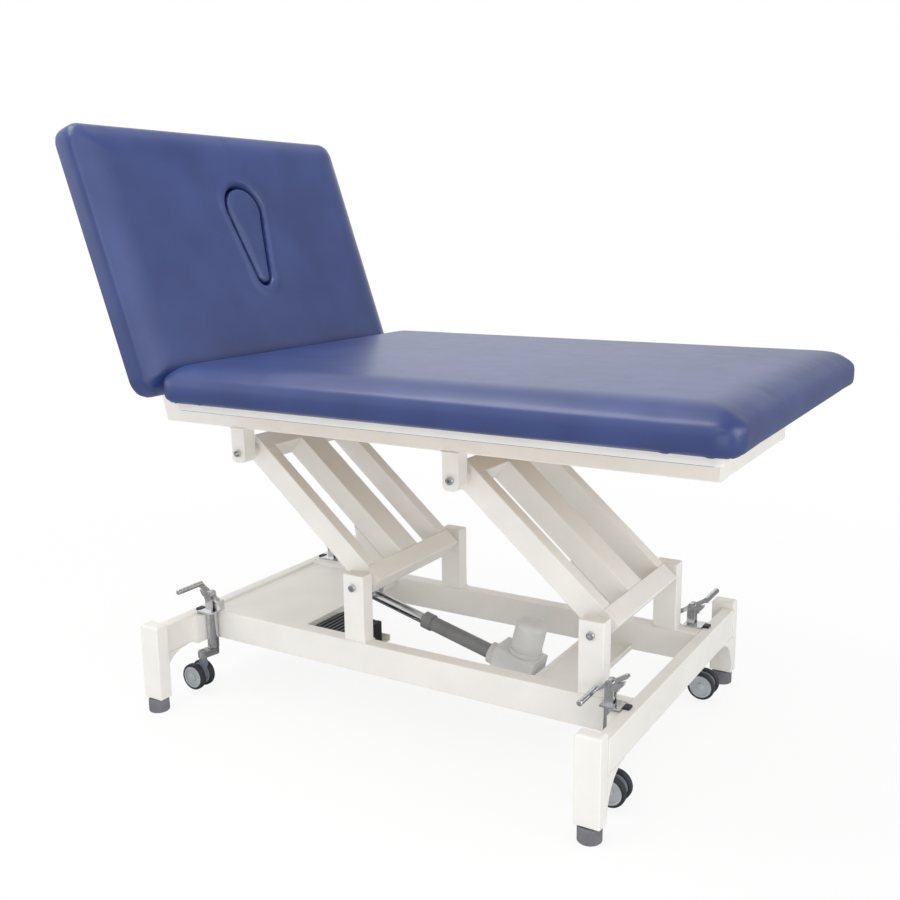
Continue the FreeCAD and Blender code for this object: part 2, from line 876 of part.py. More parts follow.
def clamp_lever():
    # The clamp's bolt with its nut, hub, arm and round knob.
    x, z = stay_bolt_place()
    jaw_face = stay_thickness / 2 + stay_jaw_clearance + stay_jaw_thickness + face_clearance
    bolt_end = jaw_face + clamp_nut_thickness
    hub_end = -jaw_face - clamp_hub_length
    bolt = cylinder(stay_bolt_diameter / 2, (x, hub_end, z), (0, 1, 0), bolt_end - hub_end)
    nut = cylinder(clamp_hub_diameter / 2, (x, jaw_face, z), (0, 1, 0), clamp_nut_thickness)
    hub = cylinder(clamp_hub_diameter / 2, (x, hub_end, z), (0, 1, 0), clamp_hub_length)
    turn = math.radians(clamp_arm_angle)
    along = (math.cos(turn), 0, math.sin(turn))
    arm_y = hub_end + clamp_hub_length / 2
    arm = cylinder(clamp_arm_diameter / 2, (x, arm_y, z), along, clamp_arm_length)
    knob_place = Vector(x + along[0] * clamp_arm_length, arm_y, z + along[2] * clamp_arm_length)
    knob = Part.makeSphere(clamp_knob_diameter / 2, knob_place)
    return [bolt.fuse(nut).fuse(hub).fuse(arm).fuse(knob).removeSplitter()]


def hinge_lugs():
    # Plates on the outer faces of the backrest tubes, reaching up to the hinge pin.
    low = rail_top - back_frame_tube
    foot = (hinge_x - hinge_lug_length + hinge_lug_radius, 0, low + hinge_lug_radius)
    top = (hinge_x, 0, hinge_z)
    lug = capsule(top, hinge_lug_radius, foot, hinge_lug_radius, (0, hinge_ear_thickness, 0))
    strap_z = (low, low + back_frame_tube)
    strap = box((foot[0] - hinge_lug_length, foot[0]), (0, hinge_ear_thickness), strap_z)
    lug = lug.fuse(strap).removeSplitter()
    lug.translate(Vector(0, -lug_outer_y, 0))
    start = (hinge_x, -lug_outer_y, hinge_z)
    bore = cylinder(hinge_pin_diameter / 2 + running_clearance, start, (0, 1, 0), hinge_ear_thickness)
    return [raised(piece) for piece in both_sides(lug.cut(bore))]


def hinge_ears():
    # Plates on the inner faces of the upper rails, which hold the hinge pins.
    foot = (hinge_x, -frame_inner, rail_top - hinge_ear_drop)
    top = (hinge_x, -frame_inner, hinge_z)
    ear = capsule(foot, hinge_ear_foot_radius, top, hinge_ear_radius, (0, hinge_ear_thickness, 0))
    bore = cylinder(hinge_pin_diameter / 2 + press_clearance, top, (0, 1, 0), hinge_ear_thickness)
    return both_sides(ear.cut(bore))


def hinge_pins():
    low = -frame_inner - hinge_pin_head
    high = -lug_inner_y + pin_end_reach
    pin = cylinder(hinge_pin_diameter / 2, (hinge_x, low, hinge_z), (0, 1, 0), high - low)
    flange = cylinder(hinge_pin_head_diameter / 2, (hinge_x, low, hinge_z), (0, 1, 0), hinge_pin_head)
    return both_sides(pin.fuse(flange).removeSplitter())


def actuator_placed(shape):
    # A shape drawn along a level actuator with its rear pin at zero, set in its place.
    copy = shape.copy()
    copy.translate(Vector(motor_pin_x, 0, motor_pin_z))
    return turned(copy, motor_pin_x, motor_pin_z, actuator_angle())


def lever_eye_place():
    turn = math.radians(arm_angle)
    x = head_post_x + lever_eye_x * math.cos(turn) + lever_eye_z * math.sin(turn)
    z = lower_pivot_z - lever_eye_x * math.sin(turn) + lever_eye_z * math.cos(turn)
    return (x, z)


def actuator_angle():
    x, z = lever_eye_place()
    return math.degrees(math.atan2(z - motor_pin_z, motor_pin_x - x))


def actuator_length():
    x, z = lever_eye_place()
    return math.hypot(x - motor_pin_x, z - motor_pin_z)


def gear_housing():
    # The moulded body behind the tube, with the rear lug for the motor pin.
    half = gear_width / 2
    front = -gear_length
    body = box((front, -actuator_body_start), (-half, half), (gear_low, gear_high))
    body = round_along(body, "x", gear_corner)
    body = round_at(body, "X", front, actuator_body_edge)
    lug = capsule(
        (0, -actuator_lug_width / 2, 0),
        actuator_lug_radius,
        (-actuator_lug_reach, -actuator_lug_width / 2, 0),
        actuator_lug_radius,
        (0, actuator_lug_width, 0),
    )
    lug_face = (0, -actuator_lug_width / 2, 0)
    bore = cylinder(motor_pin_diameter / 2 + running_clearance, lug_face, (0, 1, 0), actuator_lug_width)
    collar = cylinder(actuator_collar_diameter / 2, (front, 0, 0), (-1, 0, 0), actuator_collar_length)
    mouth = (front - actuator_collar_length, 0, 0)
    socket_depth = actuator_collar_length + tube_socket_length
    socket = cylinder(actuator_tube_diameter / 2 + press_clearance, mouth, (1, 0, 0), socket_depth)
    return [actuator_placed(body.fuse(lug).fuse(collar).cut(bore).cut(socket).removeSplitter())]


def motor_housing():
    # The motor can, standing square to the actuator, with a domed cap and a raised band.
    radius = motor_diameter / 2
    can = cylinder(radius, (-motor_offset, 0, gear_high), (0, 0, 1), motor_height)
    can = round_at(can, "Z", gear_high + motor_height, motor_dome)
    band = cylinder(radius + motor_band, (-motor_offset, 0, gear_high), (0, 0, 1), motor_band_height)
    return [actuator_placed(can.fuse(band).removeSplitter())]


def outer_tube():
    start = gear_length - tube_socket_length
    length = actuator_tube_end - start
    tube = cylinder(actuator_tube_diameter / 2, (-start, 0, 0), (-1, 0, 0), length)
    ring_start = (tube_ring_length - actuator_tube_end, 0, 0)
    ring = cylinder(tube_ring_diameter / 2, ring_start, (-1, 0, 0), tube_ring_length)
    bore = cylinder(actuator_rod_diameter / 2 + running_clearance, (-start, 0, 0), (-1, 0, 0), length)
    return [actuator_placed(tube.fuse(ring).cut(bore).removeSplitter())]


def inner_rod():
    # The bright rod with its eye; the eye is wide, because the pivot there is left open.
    length = actuator_length()
    start = actuator_tube_end - rod_overlap
    rod = cylinder(actuator_rod_diameter / 2, (-start, 0, 0), (-1, 0, 0), length - rod_neck - start)
    eye = cylinder(rod_eye_radius, (-length, -rod_eye_width / 2, 0), (0, 1, 0), rod_eye_width)
    bore = cylinder(rod_eye_bore, (-length, -rod_eye_width / 2, 0), (0, 1, 0), rod_eye_width)
    return [actuator_placed(rod.fuse(eye).cut(bore).removeSplitter())]


def motor_pin():
    half = actuator_lug_width / 2 + ear_gap + ear_thickness + pin_end_reach
    return [chamfered_pin(motor_pin_diameter, motor_pin_x, motor_pin_z, half)]


def motor_plate():
    # A folded cross plate between the base rails, with two ears for the motor pin.
    x = (motor_plate_x, motor_plate_x + motor_plate_length)
    y = (-frame_inner, frame_inner)
    body = box(x, y, (motor_plate_z, motor_plate_z + motor_plate_thickness))
    for edge in x:
        low = edge if edge == x[0] else edge - sheet
        body = body.fuse(box((low, low + sheet), y, (motor_plate_z, motor_plate_z + sheet_lip)))
    inner = actuator_lug_width / 2 + ear_gap
    for low in (-inner - ear_thickness, inner):
        ear = capsule(
            (motor_pin_x, low, motor_pin_z),
            actuator_lug_radius,
            (motor_plate_x + ear_foot_inset, low, motor_plate_z - sheet),
            ear_foot_radius,
            (0, ear_thickness, 0),
        )
        body = body.fuse(ear)
        start = (motor_pin_x, low, motor_pin_z)
        body = body.cut(cylinder(motor_pin_diameter / 2 + press_clearance, start, (0, 1, 0), ear_thickness))
    return [body.removeSplitter()]


def head_cover_plate():
    # A folded sheet over the head end of the base, with turned-down lips.
    x = (-beam_inner_x, cover_plate_foot_x)
    y = (-frame_inner, frame_inner)
    tray = box(x, y, (cover_plate_z, cover_plate_z + sheet))
    lip = (cover_plate_z - sheet_lip, cover_plate_z)
    for low in (y[0], y[1] - sheet):
        tray = tray.fuse(box(x, (low, low + sheet), lip))
    tray = tray.fuse(box((x[1] - sheet, x[1]), y, lip))
    return [tray.removeSplitter()]


def control_box():
    # A closed moulded box with a row of grooves across its top and sides.
    x = (box_head_x, box_head_x + box_length)
    y = (box_near_y, box_near_y + box_width)
    z = (box_bottom, box_bottom + box_height)
    body = round_along(box(x, y, z), "z", box_corner)
    body = round_at(body, "Z", z[1], box_top_edge)
    count = int((box_length - 2 * box_rib_pitch) / box_rib_pitch) + 1
    start = x[0] + (box_length - (count - 1) * box_rib_pitch) / 2
    for index in range(count):
        centre = start + index * box_rib_pitch
        slot_x = (centre - box_groove / 2, centre + box_groove / 2)
        body = body.cut(box(slot_x, y, (z[1] - box_groove_depth, z[1])))
        body = body.cut(box(slot_x, (y[0], y[0] + box_groove_depth), z))
        body = body.cut(box(slot_x, (y[1] - box_groove_depth, y[1]), z))
    return [body]


def control_tray():
    x = (box_head_x - tray_margin, box_head_x + box_length + tray_margin)
    y = (-frame_inner, box_near_y + box_width + tray_margin)
    floor = box(x, y, (box_bottom - sheet, box_bottom))
    wall = box(x, (y[0], y[0] + sheet), (box_bottom, box_bottom + sheet_lip * 2))
    lip = box(x, (y[1] - sheet, y[1]), (box_bottom, box_bottom + sheet_lip))
    return [floor.fuse(wall).fuse(lip).removeSplitter()]


def pad_place():
    return (-base_length / 2 + leg_length / 2, -base_width / 2 + leg_width / 2)


def levelling_pads():
    # Rubber pads with a bevelled foot and a rounded shoulder.
    x, y = pad_place()
    pad = cylinder(pad_diameter / 2, (x, y, 0), (0, 0, 1), pad_height)
    pad = round_at(pad, "Z", pad_height, pad_rim)
    pad = pad.makeChamfer(pad_foot_chamfer, edges_at(pad, "Z", 0))
    bore = cylinder(stem_diameter / 2 + press_clearance, (x, y, pad_height / 2), (0, 0, 1), pad_height)
    return at_four_corners(pad.cut(bore))


def levelling_stems():
    x, y = pad_place()
    top = leg_bottom + stem_reach
    stem = cylinder(stem_diameter / 2, (x, y, pad_height / 2), (0, 0, 1), top - pad_height / 2)
    nut = cylinder(lock_nut_diameter / 2, (x, y, pad_height), (0, 0, 1), leg_bottom - pad_height)
    return at_four_corners(stem.fuse(nut).removeSplitter())


def corner_copy(shape, end, side):
    # A near head-end shape, mirrored to the wanted corner.
    copy = shape
    if end > 0:
        copy = mirror_x(copy)
    if side > 0:
        copy = mirror_y(copy)
    return copy


def caster_guides():
    # A barrel at each corner, in which the caster's plunger slides.
    foot = (-guide_x, -guide_y, guide_bottom)
    barrel = cylinder(guide_diameter / 2, foot, (0, 0, 1), guide_top - guide_bottom)
    return at_four_corners(barrel.cut(plunger_bore()))


def plunger_bore():
    start = (-guide_x, -guide_y, guide_bottom)
    height = guide_top + flange_thickness - guide_bottom
    return cylinder(plunger_diameter / 2 + guide_sliding_clearance, start, (0, 0, 1), height)


def guide_blocks():
    # The block and web that weld each barrel to the cross beam.
    block_y = (guide_diameter / 2 - guide_y - block_width, guide_diameter / 2 - guide_y)
    block_z = (beam_bottom, beam_top - block_under_beam_top)
    block = box((-beam_inner_x, -beam_inner_x + block_thickness), block_y, block_z)
    web_y = (-guide_y - web_thickness / 2, -guide_y + web_thickness / 2)
    block = block.fuse(box((-beam_inner_x, -guide_x), web_y, block_z))
    barrel = cylinder(guide_diameter / 2, (-guide_x, -guide_y, guide_bottom), (0, 0, 1), guide_top)
    return at_four_corners(block.cut(barrel).removeSplitter())


def pedal_brackets():
    # A flange on the barrel and the beam's top edge, with a tab and two cheeks for the pedal's pin.
    gap = pedal_bar_width / 2 + face_clearance
    outer = gap + pedal_cheek
    z = (guide_top, guide_top + flange_thickness)
    inner_x = flange_inner_reach - guide_x
    plate_y = (-guide_y - flange_width / 2, -guide_y + flange_width / 2)
    unit = box((-beam_inner_x, inner_x), plate_y, z)
    tab_y = (-guide_y - tab_width / 2, -guide_y + tab_width / 2)
    unit = unit.fuse(box((-guide_x - flange_outer_reach, inner_x), tab_y, z))
    cheek_x = (-guide_x - pedal_cheek_radius, -guide_x + pedal_cheek_radius)
    for low in (-guide_y - outer, -guide_y + gap):
        foot = box(cheek_x, (low, low + pedal_cheek), (z[1], pedal_pivot_z))
        top = cylinder(pedal_cheek_radius, (-guide_x, low, pedal_pivot_z), (0, 1, 0), pedal_cheek)
        unit = unit.fuse(foot).fuse(top)
    half = outer + pedal_pin_end
    pin = cylinder(pedal_pin_diameter / 2, (-guide_x, -guide_y - half, pedal_pivot_z), (0, 1, 0), 2 * half)
    return at_four_corners(unit.cut(plunger_bore()).fuse(pin).removeSplitter())


def tab_caps():
    # The moulded cap pushed over the end of each tab.
    end = -guide_x - flange_outer_reach
    z = (guide_top + face_clearance, guide_top + flange_thickness + tab_cap_wall)
    half = tab_width / 2 + tab_cap_wall
    cap = box((end - tab_cap_wall, end + tab_cap_length), (-guide_y - half, -guide_y + half), z)
    cap = round_at(cap, "Z", z[1], tab_cap_wall / 2)
    half = tab_width / 2
    slot_z = (guide_top, guide_top + flange_thickness)
    slot = box((end, end + tab_cap_length), (-guide_y - half, -guide_y + half), slot_z)
    return at_four_corners(cap.cut(slot))


def lever_point(reach, turn):
    angle = math.radians(turn)
    return (-guide_x - reach * math.cos(angle), pedal_pivot_z + reach * math.sin(angle))


def cam_point(turn):
    # The cam's edge that a flat pusher meets when the pedal has turned by this much.
    angle = math.radians(-90.0 - turn)
    depth = cam_rest_depth + cam_rate * math.radians(turn)
    x = depth * math.cos(angle) + cam_rate * math.sin(angle)
    z = depth * math.sin(angle) - cam_rate * math.cos(angle)
    return (x - guide_x, z + pedal_pivot_z)


def pedal_cam():
    # A plate under the lever's outer half that pushes the plunger down evenly as the pedal turns.
    y = (-guide_y - pedal_bar_width / 2, -guide_y + pedal_bar_width / 2)
    edge = []
    for step in range(cam_steps + 1):
        x, z = cam_point(pedal_swing * step / cam_steps)
        edge.append(Vector(x, y[0], z))
    curve = Part.BSplineCurve()
    curve.interpolate(edge)
    hub = Vector(-guide_x, y[0], pedal_pivot_z)
    under = Vector(-guide_x, y[0], pedal_pivot_z - cam_rest_depth)
    edges = [
        curve.toShape(),
        Part.LineSegment(edge[-1], hub).toShape(),
        Part.LineSegment(hub, under).toShape(),
        Part.LineSegment(under, edge[0]).toShape(),
    ]
    return Part.Face(Part.Wire(edges)).extrude(Vector(0, y[1] - y[0], 0))


def pedal(end, side, grip_on_tail):
    low = -guide_y - pedal_bar_width / 2
    half = pedal_bar_depth / 2
    depth = (0, pedal_bar_width, 0)
    outer_x, outer_z = lever_point(pedal_half_length, pedal_angle)
    tail_x, tail_z = lever_point(-pedal_half_length, pedal_angle)
    hub = (-guide_x, low, pedal_pivot_z)
    bar = capsule((tail_x, low, tail_z), half, (outer_x, low, outer_z), half, depth)
    bar = bar.fuse(cylinder(pedal_hub_radius, hub, (0, 1, 0), pedal_bar_width)).fuse(pedal_cam())
    grip_x, grip_z = (tail_x, tail_z) if grip_on_tail else (outer_x, outer_z)
    start = (grip_x, -guide_y + pedal_bar_width / 2, grip_z)
    grip = cylinder(grip_diameter / 2, start, (0, -1, 0), grip_length)
    bar = bar.fuse(round_at(grip, "Y", start[1] - grip_length, grip_edge))
    if not grip_on_tail:
        stop_x = (tail_x, tail_x + pedal_stop_thickness)
        stop_z = (tail_z - pedal_stop_height / 2, tail_z + pedal_stop_height / 2)
        bar = bar.fuse(box(stop_x, (low, low + pedal_bar_width), stop_z))
    bore = cylinder(pedal_pin_diameter / 2 + running_clearance, hub, (0, 1, 0), pedal_bar_width)
    return corner_copy(bar.cut(bore).removeSplitter(), end, side)


def carrier(end, side):
    # The plunger with the pusher that meets the cam, and the arm that holds the caster's stem.
    foot = (-guide_x, -guide_y, carrier_arm_bottom)
    plunger = cylinder(plunger_diameter / 2, foot, (0, 0, 1), plunger_top - carrier_arm_bottom)
    top = pedal_pivot_z - cam_rest_depth - push_gap
    start = (-guide_x, -guide_y, plunger_top)
    rod = cylinder(push_rod_diameter / 2, start, (0, 0, 1), top - push_head_thickness - plunger_top)
    head = box(
        (-guide_x - cam_rate - push_head_margin, -guide_x + push_head_inner),
        (-guide_y - pedal_bar_width / 2, -guide_y + pedal_bar_width / 2),
        (top - push_head_thickness, top),
    )
    stem_foot = (-caster_x, -caster_y, carrier_arm_bottom)
    arm = capsule(foot, carrier_root_radius, stem_foot, carrier_arm_radius, (0, 0, carrier_arm_height))
    bore_radius = caster_stem_diameter / 2 + running_clearance
    bore = cylinder(bore_radius, stem_foot, (0, 0, 1), carrier_arm_height)
    return corner_copy(plunger.fuse(rod).fuse(head).fuse(arm).cut(bore).removeSplitter(), end, side)


def wheel_centre():
    return (-caster_x - caster_trail, -caster_y, wheel_diameter / 2 + wheel_lift)


def caster_housing(end, side):
    # The stem, its collar and the hood between the wheels, with the axle through it.
    wx, wy, wz = wheel_centre()
    half = hood_width / 2
    low = carrier_arm_bottom - face_clearance - caster_collar_height
    stem_top = carrier_arm_bottom + carrier_arm_height + caster_stem_end
    stem = cylinder(caster_stem_diameter / 2, (-caster_x, wy, low), (0, 0, 1), stem_top - low)
    collar = cylinder(caster_collar_diameter / 2, (-caster_x, wy, low), (0, 0, 1), caster_collar_height)
    hood = cylinder(hood_radius, (wx, wy - half, wz), (0, 1, 0), hood_width)
    neck_top = (-caster_x, wy - half, low - half)
    neck = capsule(neck_top, half, (wx, wy - half, wz), caster_neck_radius, (0, hood_width, 0))
    cap = box((-caster_x - half, -caster_x + half), (wy - half, wy + half), (low - half, low))
    reach = half + wheel_gap + wheel_width - 2 * wheel_dish
    axle = cylinder(axle_diameter / 2, (wx, wy - reach, wz), (0, 1, 0), 2 * reach)
    body = stem.fuse(collar).fuse(hood).fuse(neck).fuse(cap).fuse(axle).removeSplitter()
    return corner_copy(body, end, side)


def caster_wheels(end, side):
    # Two discs with rounded treads and dished outer faces, turned about the axle.
    wx, wy, wz = wheel_centre()
    radius = wheel_diameter / 2
    inner = hood_width / 2 + wheel_gap
    disc = cylinder(radius, (wx, wy - inner, wz), (0, -1, 0), wheel_width)
    outer_y = wy - inner - wheel_width
    disc = disc.makeFillet(wheel_edge, edges_at(disc, "Y", outer_y) + edges_at(disc, "Y", wy - inner))
    dish = cylinder(wheel_dish_radius, (wx, outer_y, wz), (0, 1, 0), wheel_dish)
    boss = cylinder(wheel_boss_radius, (wx, outer_y, wz), (0, 1, 0), wheel_dish)
    bore_start = (wx, outer_y + 2 * wheel_dish, wz)
    bore = cylinder(axle_diameter / 2 + running_clearance, bore_start, (0, 1, 0), wheel_width)
    disc = disc.cut(dish.cut(boss)).cut(bore)
    other = disc.mirror(Vector(0, wy, 0), Vector(0, 1, 0))
    return [corner_copy(piece, end, side) for piece in (disc, other)]


def corner_nodes():
    # The moving pieces of the four corners, named for where they stand.
    found = {}
    for end, end_name in ((-1, "head"), (1, "foot")):
        for side, side_name in ((-1, "near"), (1, "far")):
            corner = side_name + "_" + end_name
            grip_on_tail = corner == "near_foot"
            found["pedal_" + corner] = [pedal(end, side, grip_on_tail)]
            found["carrier_" + corner] = [carrier(end, side)]
            found["caster_housing_" + corner] = [caster_housing(end, side)]
            found["caster_wheels_" + corner] = caster_wheels(end, side)
    return found


def all_nodes():
    nodes = {
        "base_rails": base_rails(),
        "cross_beams": cross_beams(),
        "legs": legs(),
        "posts": posts(),
        "lower_pivot_bolts": lower_pivot_bolts(),
        "head_cover_plate": head_cover_plate(),
        "control_tray": control_tray(),
        "control_box": control_box(),
        "motor_plate": motor_plate(),
        "motor_pin": motor_pin(),
        "levelling_pads": levelling_pads(),
        "levelling_stems": levelling_stems(),
        "caster_guides": caster_guides() + pedal_brackets(),
        "guide_blocks": guide_blocks(),
        "tab_caps": tab_caps(),
        "head_arm_bars": arm_bars(head_post_x),
        "head_arm_cross_tubes": arm_cross_tubes(head_post_x),
        "head_arm_bushes": arm_bushes(head_post_x),
        "lift_lever": lift_lever(),
        "lever_pin": lever_pin(),
        "foot_arm_bars": arm_bars(foot_post_x),
        "foot_arm_cross_tubes": arm_cross_tubes(foot_post_x),
        "foot_arm_bushes": arm_bushes(foot_post_x),
        "foot_arm_gusset": foot_arm_gusset(),
        "top_rails": top_rails(),
        "top_end_tubes": top_end_tubes(),
        "seat_bearers": seat_bearers(),
        "top_brackets": top_brackets(),
        "upper_pivot_bolts": upper_pivot_bolts(),
        "hinge_ears": hinge_ears(),
        "hinge_pins": hinge_pins(),
        "seat_board": seat_board(),
        "seat_cushion": seat_cushion(),
        "back_board": back_board(),
        "back_cushion": back_cushion(),
        "back_frame": back_frame(),
        "hinge_lugs": hinge_lugs(),
        "stay_quadrant": stay_quadrant(),
        "stay_jaws": stay_jaws(),
        "clamp_lever": clamp_lever(),
        "face_plug": face_plug(),
        "actuator_housing": gear_housing() + motor_housing(),
        "outer_tube": outer_tube(),
        "inner_rod": inner_rod(),
    }
    nodes.update(corner_nodes())
    return nodes


def table_middle(nodes):
    # Halfway between the ends of the whole table, along X.
    limits = [piece.optimalBoundingBox(False, False) for pieces in nodes.values() for piece in pieces]
    return (min(item.XMin for item in limits) + max(item.XMax for item in limits)) / 2


def main():
    nodes = all_nodes()
    middle = table_middle(nodes)
    os.makedirs("parts", exist_ok=True)
    for name, pieces in nodes.items():
        shape = Part.makeCompound(pieces) if len(pieces) > 1 else pieces[0]
        shape.translate(Vector(-middle, 0, 0))
        shape.exportStep("parts/" + name + ".step")
    print("nodes", len(nodes))
    print("middle of the table from the middle of the base", round(middle, 4))
    print("actuator angle", round(actuator_angle(), 4), "length", round(actuator_length(), 3))


main()
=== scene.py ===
import json
import math

import bmesh
import bpy
from mathutils import Matrix, Vector


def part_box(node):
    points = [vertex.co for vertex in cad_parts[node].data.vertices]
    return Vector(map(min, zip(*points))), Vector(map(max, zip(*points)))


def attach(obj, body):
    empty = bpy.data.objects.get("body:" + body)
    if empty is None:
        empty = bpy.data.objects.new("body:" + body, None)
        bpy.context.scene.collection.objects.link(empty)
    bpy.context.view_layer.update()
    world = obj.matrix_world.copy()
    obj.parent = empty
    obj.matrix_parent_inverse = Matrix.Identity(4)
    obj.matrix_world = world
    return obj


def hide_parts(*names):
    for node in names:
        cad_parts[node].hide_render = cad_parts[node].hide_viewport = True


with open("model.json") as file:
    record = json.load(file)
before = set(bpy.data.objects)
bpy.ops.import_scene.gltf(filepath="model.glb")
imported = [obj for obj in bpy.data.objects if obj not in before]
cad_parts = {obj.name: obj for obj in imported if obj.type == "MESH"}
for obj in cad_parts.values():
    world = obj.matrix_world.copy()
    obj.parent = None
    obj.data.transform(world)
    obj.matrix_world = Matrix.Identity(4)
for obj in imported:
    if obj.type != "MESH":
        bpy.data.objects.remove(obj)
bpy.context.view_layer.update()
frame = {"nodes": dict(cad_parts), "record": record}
nodes = frame["nodes"]
corners = ("near_head", "far_head", "near_foot", "far_foot")
middle = 0.0445105  # the CAD's origin, from the middle of the base
print("frame loaded with", len(nodes), "nodes")


# Materials

def srgb(code):
    # hex as a colour picker shows it, turned to linear light
    parts = [int(code[i:i + 2], 16) / 255 for i in (1, 3, 5)]
    return tuple(p / 12.92 if p <= 0.04045 else ((p + 0.055) / 1.055) ** 2.4 for p in parts) + (1.0,)


def addNode(tree, kind, values=None, links=None, **settings):
    node = tree.nodes.new(kind)
    for key, value in settings.items():
        setattr(node, key, value)
    for key, value in (values or {}).items():
        node.inputs[key].default_value = value
    for key, socket in (links or {}).items():
        tree.links.new(socket, node.inputs[key])
    return node


def startMaterial(name, values):
    material = bpy.data.materials.new(name)
    material.use_nodes = True
    tree = material.node_tree
    tree.nodes.clear()
    shader = addNode(tree, "ShaderNodeBsdfPrincipled", values)
    addNode(tree, "ShaderNodeOutputMaterial", links={"Surface": shader.outputs["BSDF"]})
    coords = addNode(tree, "ShaderNodeTexCoord").outputs["Object"]
    return material, tree, shader, coords


def mixedColour(tree, shader, factor, first, second, low=0.35, high=0.65):
    # two close colours by a noise, so no face is one flat tone
    ramp = addNode(tree, "ShaderNodeValToRGB", links={"Fac": factor})
    ramp.color_ramp.elements[0].position = low
    ramp.color_ramp.elements[0].color = srgb(first)
    ramp.color_ramp.elements[1].position = high
    ramp.color_ramp.elements[1].color = srgb(second)
    tree.links.new(ramp.outputs["Color"], shader.inputs["Base Color"])


def roughnessRange(tree, shader, factor, low, high):
    spread = addNode(tree, "ShaderNodeMapRange", {"To Min": low, "To Max": high}, {"Value": factor})
    tree.links.new(spread.outputs["Result"], shader.inputs["Roughness"])


def addBump(tree, shader, height, distance, strength=1.0, before=None):
    links = {"Height": height}
    if before:
        links["Normal"] = before.outputs["Normal"]
    bump = addNode(tree, "ShaderNodeBump", {"Distance": distance, "Strength": strength}, links)
    tree.links.new(bump.outputs["Normal"], shader.inputs["Normal"])
    return bump


vinylLook = {
    "deep": "#27386f", "light": "#2f427b",
    "grainMm": 2.2, "grainDepthMm": 0.07, "waveMm": 120, "waveDepthMm": 0.35,
    "dull": 0.46, "glossy": 0.38, "ior": 1.54, "coat": 0.28, "coatRoughness": 0.22, "coatIor": 1.5,
}
powderLook = {
    "deep": "#eceae5", "light": "#f1efea", "peelMm": 5.0, "peelDepthMm": 0.05,
    "glossy": 0.34, "dull": 0.46,
}


def upholsteryVinyl():
    # calendered PVC on a knit backing: a pebbled grain, a broad satin highlight, slight waves from the foam
    look = vinylLook
    surface = {
        "IOR": look["ior"], "Coat Weight": look["coat"],
        "Coat Roughness": look["coatRoughness"], "Coat IOR": look["coatIor"],
    }
    material, tree, shader, coords = startMaterial("upholsteryVinyl", surface)
    tone = addNode(tree, "ShaderNodeTexNoise", {"Scale": 6.0, "Detail": 3.0}, {"Vector": coords})
    mixedColour(tree, shader, tone.outputs["Fac"], look["deep"], look["light"])
    wear = addNode(tree, "ShaderNodeTexNoise", {"Scale": 22.0, "Detail": 2.0}, {"Vector": coords})
    roughnessRange(tree, shader, wear.outputs["Fac"], look["glossy"], look["dull"])
    # the real grain is 1 mm; it is drawn at about twice that so that it shows
    across = {"Scale": 1000 / look["grainMm"]}
    grain = addNode(tree, "ShaderNodeTexVoronoi", across, {"Vector": coords}, feature="SMOOTH_F1")
    across = {"Scale": 1000 / look["waveMm"], "Detail": 1.0}
    wave = addNode(tree, "ShaderNodeTexNoise", across, {"Vector": coords})
    broad = addBump(tree, shader, wave.outputs["Fac"], look["waveDepthMm"] / 1000)
    addBump(tree, shader, grain.outputs["Distance"], look["grainDepthMm"] / 1000, 0.6, broad)
    return material


def powderCoat():
    # sprayed and baked polyester powder on steel: a fine orange peel, satin, a little duller in places
    look = powderLook
    material, tree, shader, coords = startMaterial("powderCoat", {"IOR": 1.5})
    tone = addNode(tree, "ShaderNodeTexNoise", {"Scale": 9.0, "Detail": 4.0}, {"Vector": coords})
    mixedColour(tree, shader, tone.outputs["Fac"], look["deep"], look["light"])
    roughnessRange(tree, shader, tone.outputs["Fac"], look["glossy"], look["dull"])
    fine = {"Scale": 1000 / look["peelMm"], "Detail": 1.5}
    peel = addNode(tree, "ShaderNodeTexNoise", fine, {"Vector": coords})
    addBump(tree, shader, peel.outputs["Fac"], look["peelDepthMm"] / 1000, 0.8)
    return material


def brightMetal(name, deep, light, rough, stretch, depth):
    # plated or drawn metal: fine lines along one way, a narrow spread of gloss
    material, tree, shader, coords = startMaterial(name, {"Metallic": 1.0})
    along = addNode(tree, "ShaderNodeMapping", {"Scale": stretch}, {"Vector": coords})
    fine = {"Scale": 90.0, "Detail": 4.0}
    lines = addNode(tree, "ShaderNodeTexNoise", fine, {"Vector": along.outputs["Vector"]})
    mixedColour(tree, shader, lines.outputs["Fac"], deep, light, 0.3, 0.7)
    roughnessRange(tree, shader, lines.outputs["Fac"], rough[0], rough[1])
    addBump(tree, shader, lines.outputs["Fac"], depth, 0.5)
    return material


def mouldedPlastic(name, deep, light, rough, textureMm, depthMm):
    # injection-moulded resin with a spark-eroded grain from the mould wall
    material, tree, shader, coords = startMaterial(name, {"IOR": 1.49})
    tone = addNode(tree, "ShaderNodeTexNoise", {"Scale": 14.0, "Detail": 3.0}, {"Vector": coords})
    mixedColour(tree, shader, tone.outputs["Fac"], deep, light)
    fine = {"Scale": 1000 / textureMm, "Detail": 2.0}
    grain = addNode(tree, "ShaderNodeTexNoise", fine, {"Vector": coords})
    roughnessRange(tree, shader, grain.outputs["Fac"], rough[0], rough[1])
    addBump(tree, shader, grain.outputs["Fac"], depthMm / 1000, 0.7)
    return material


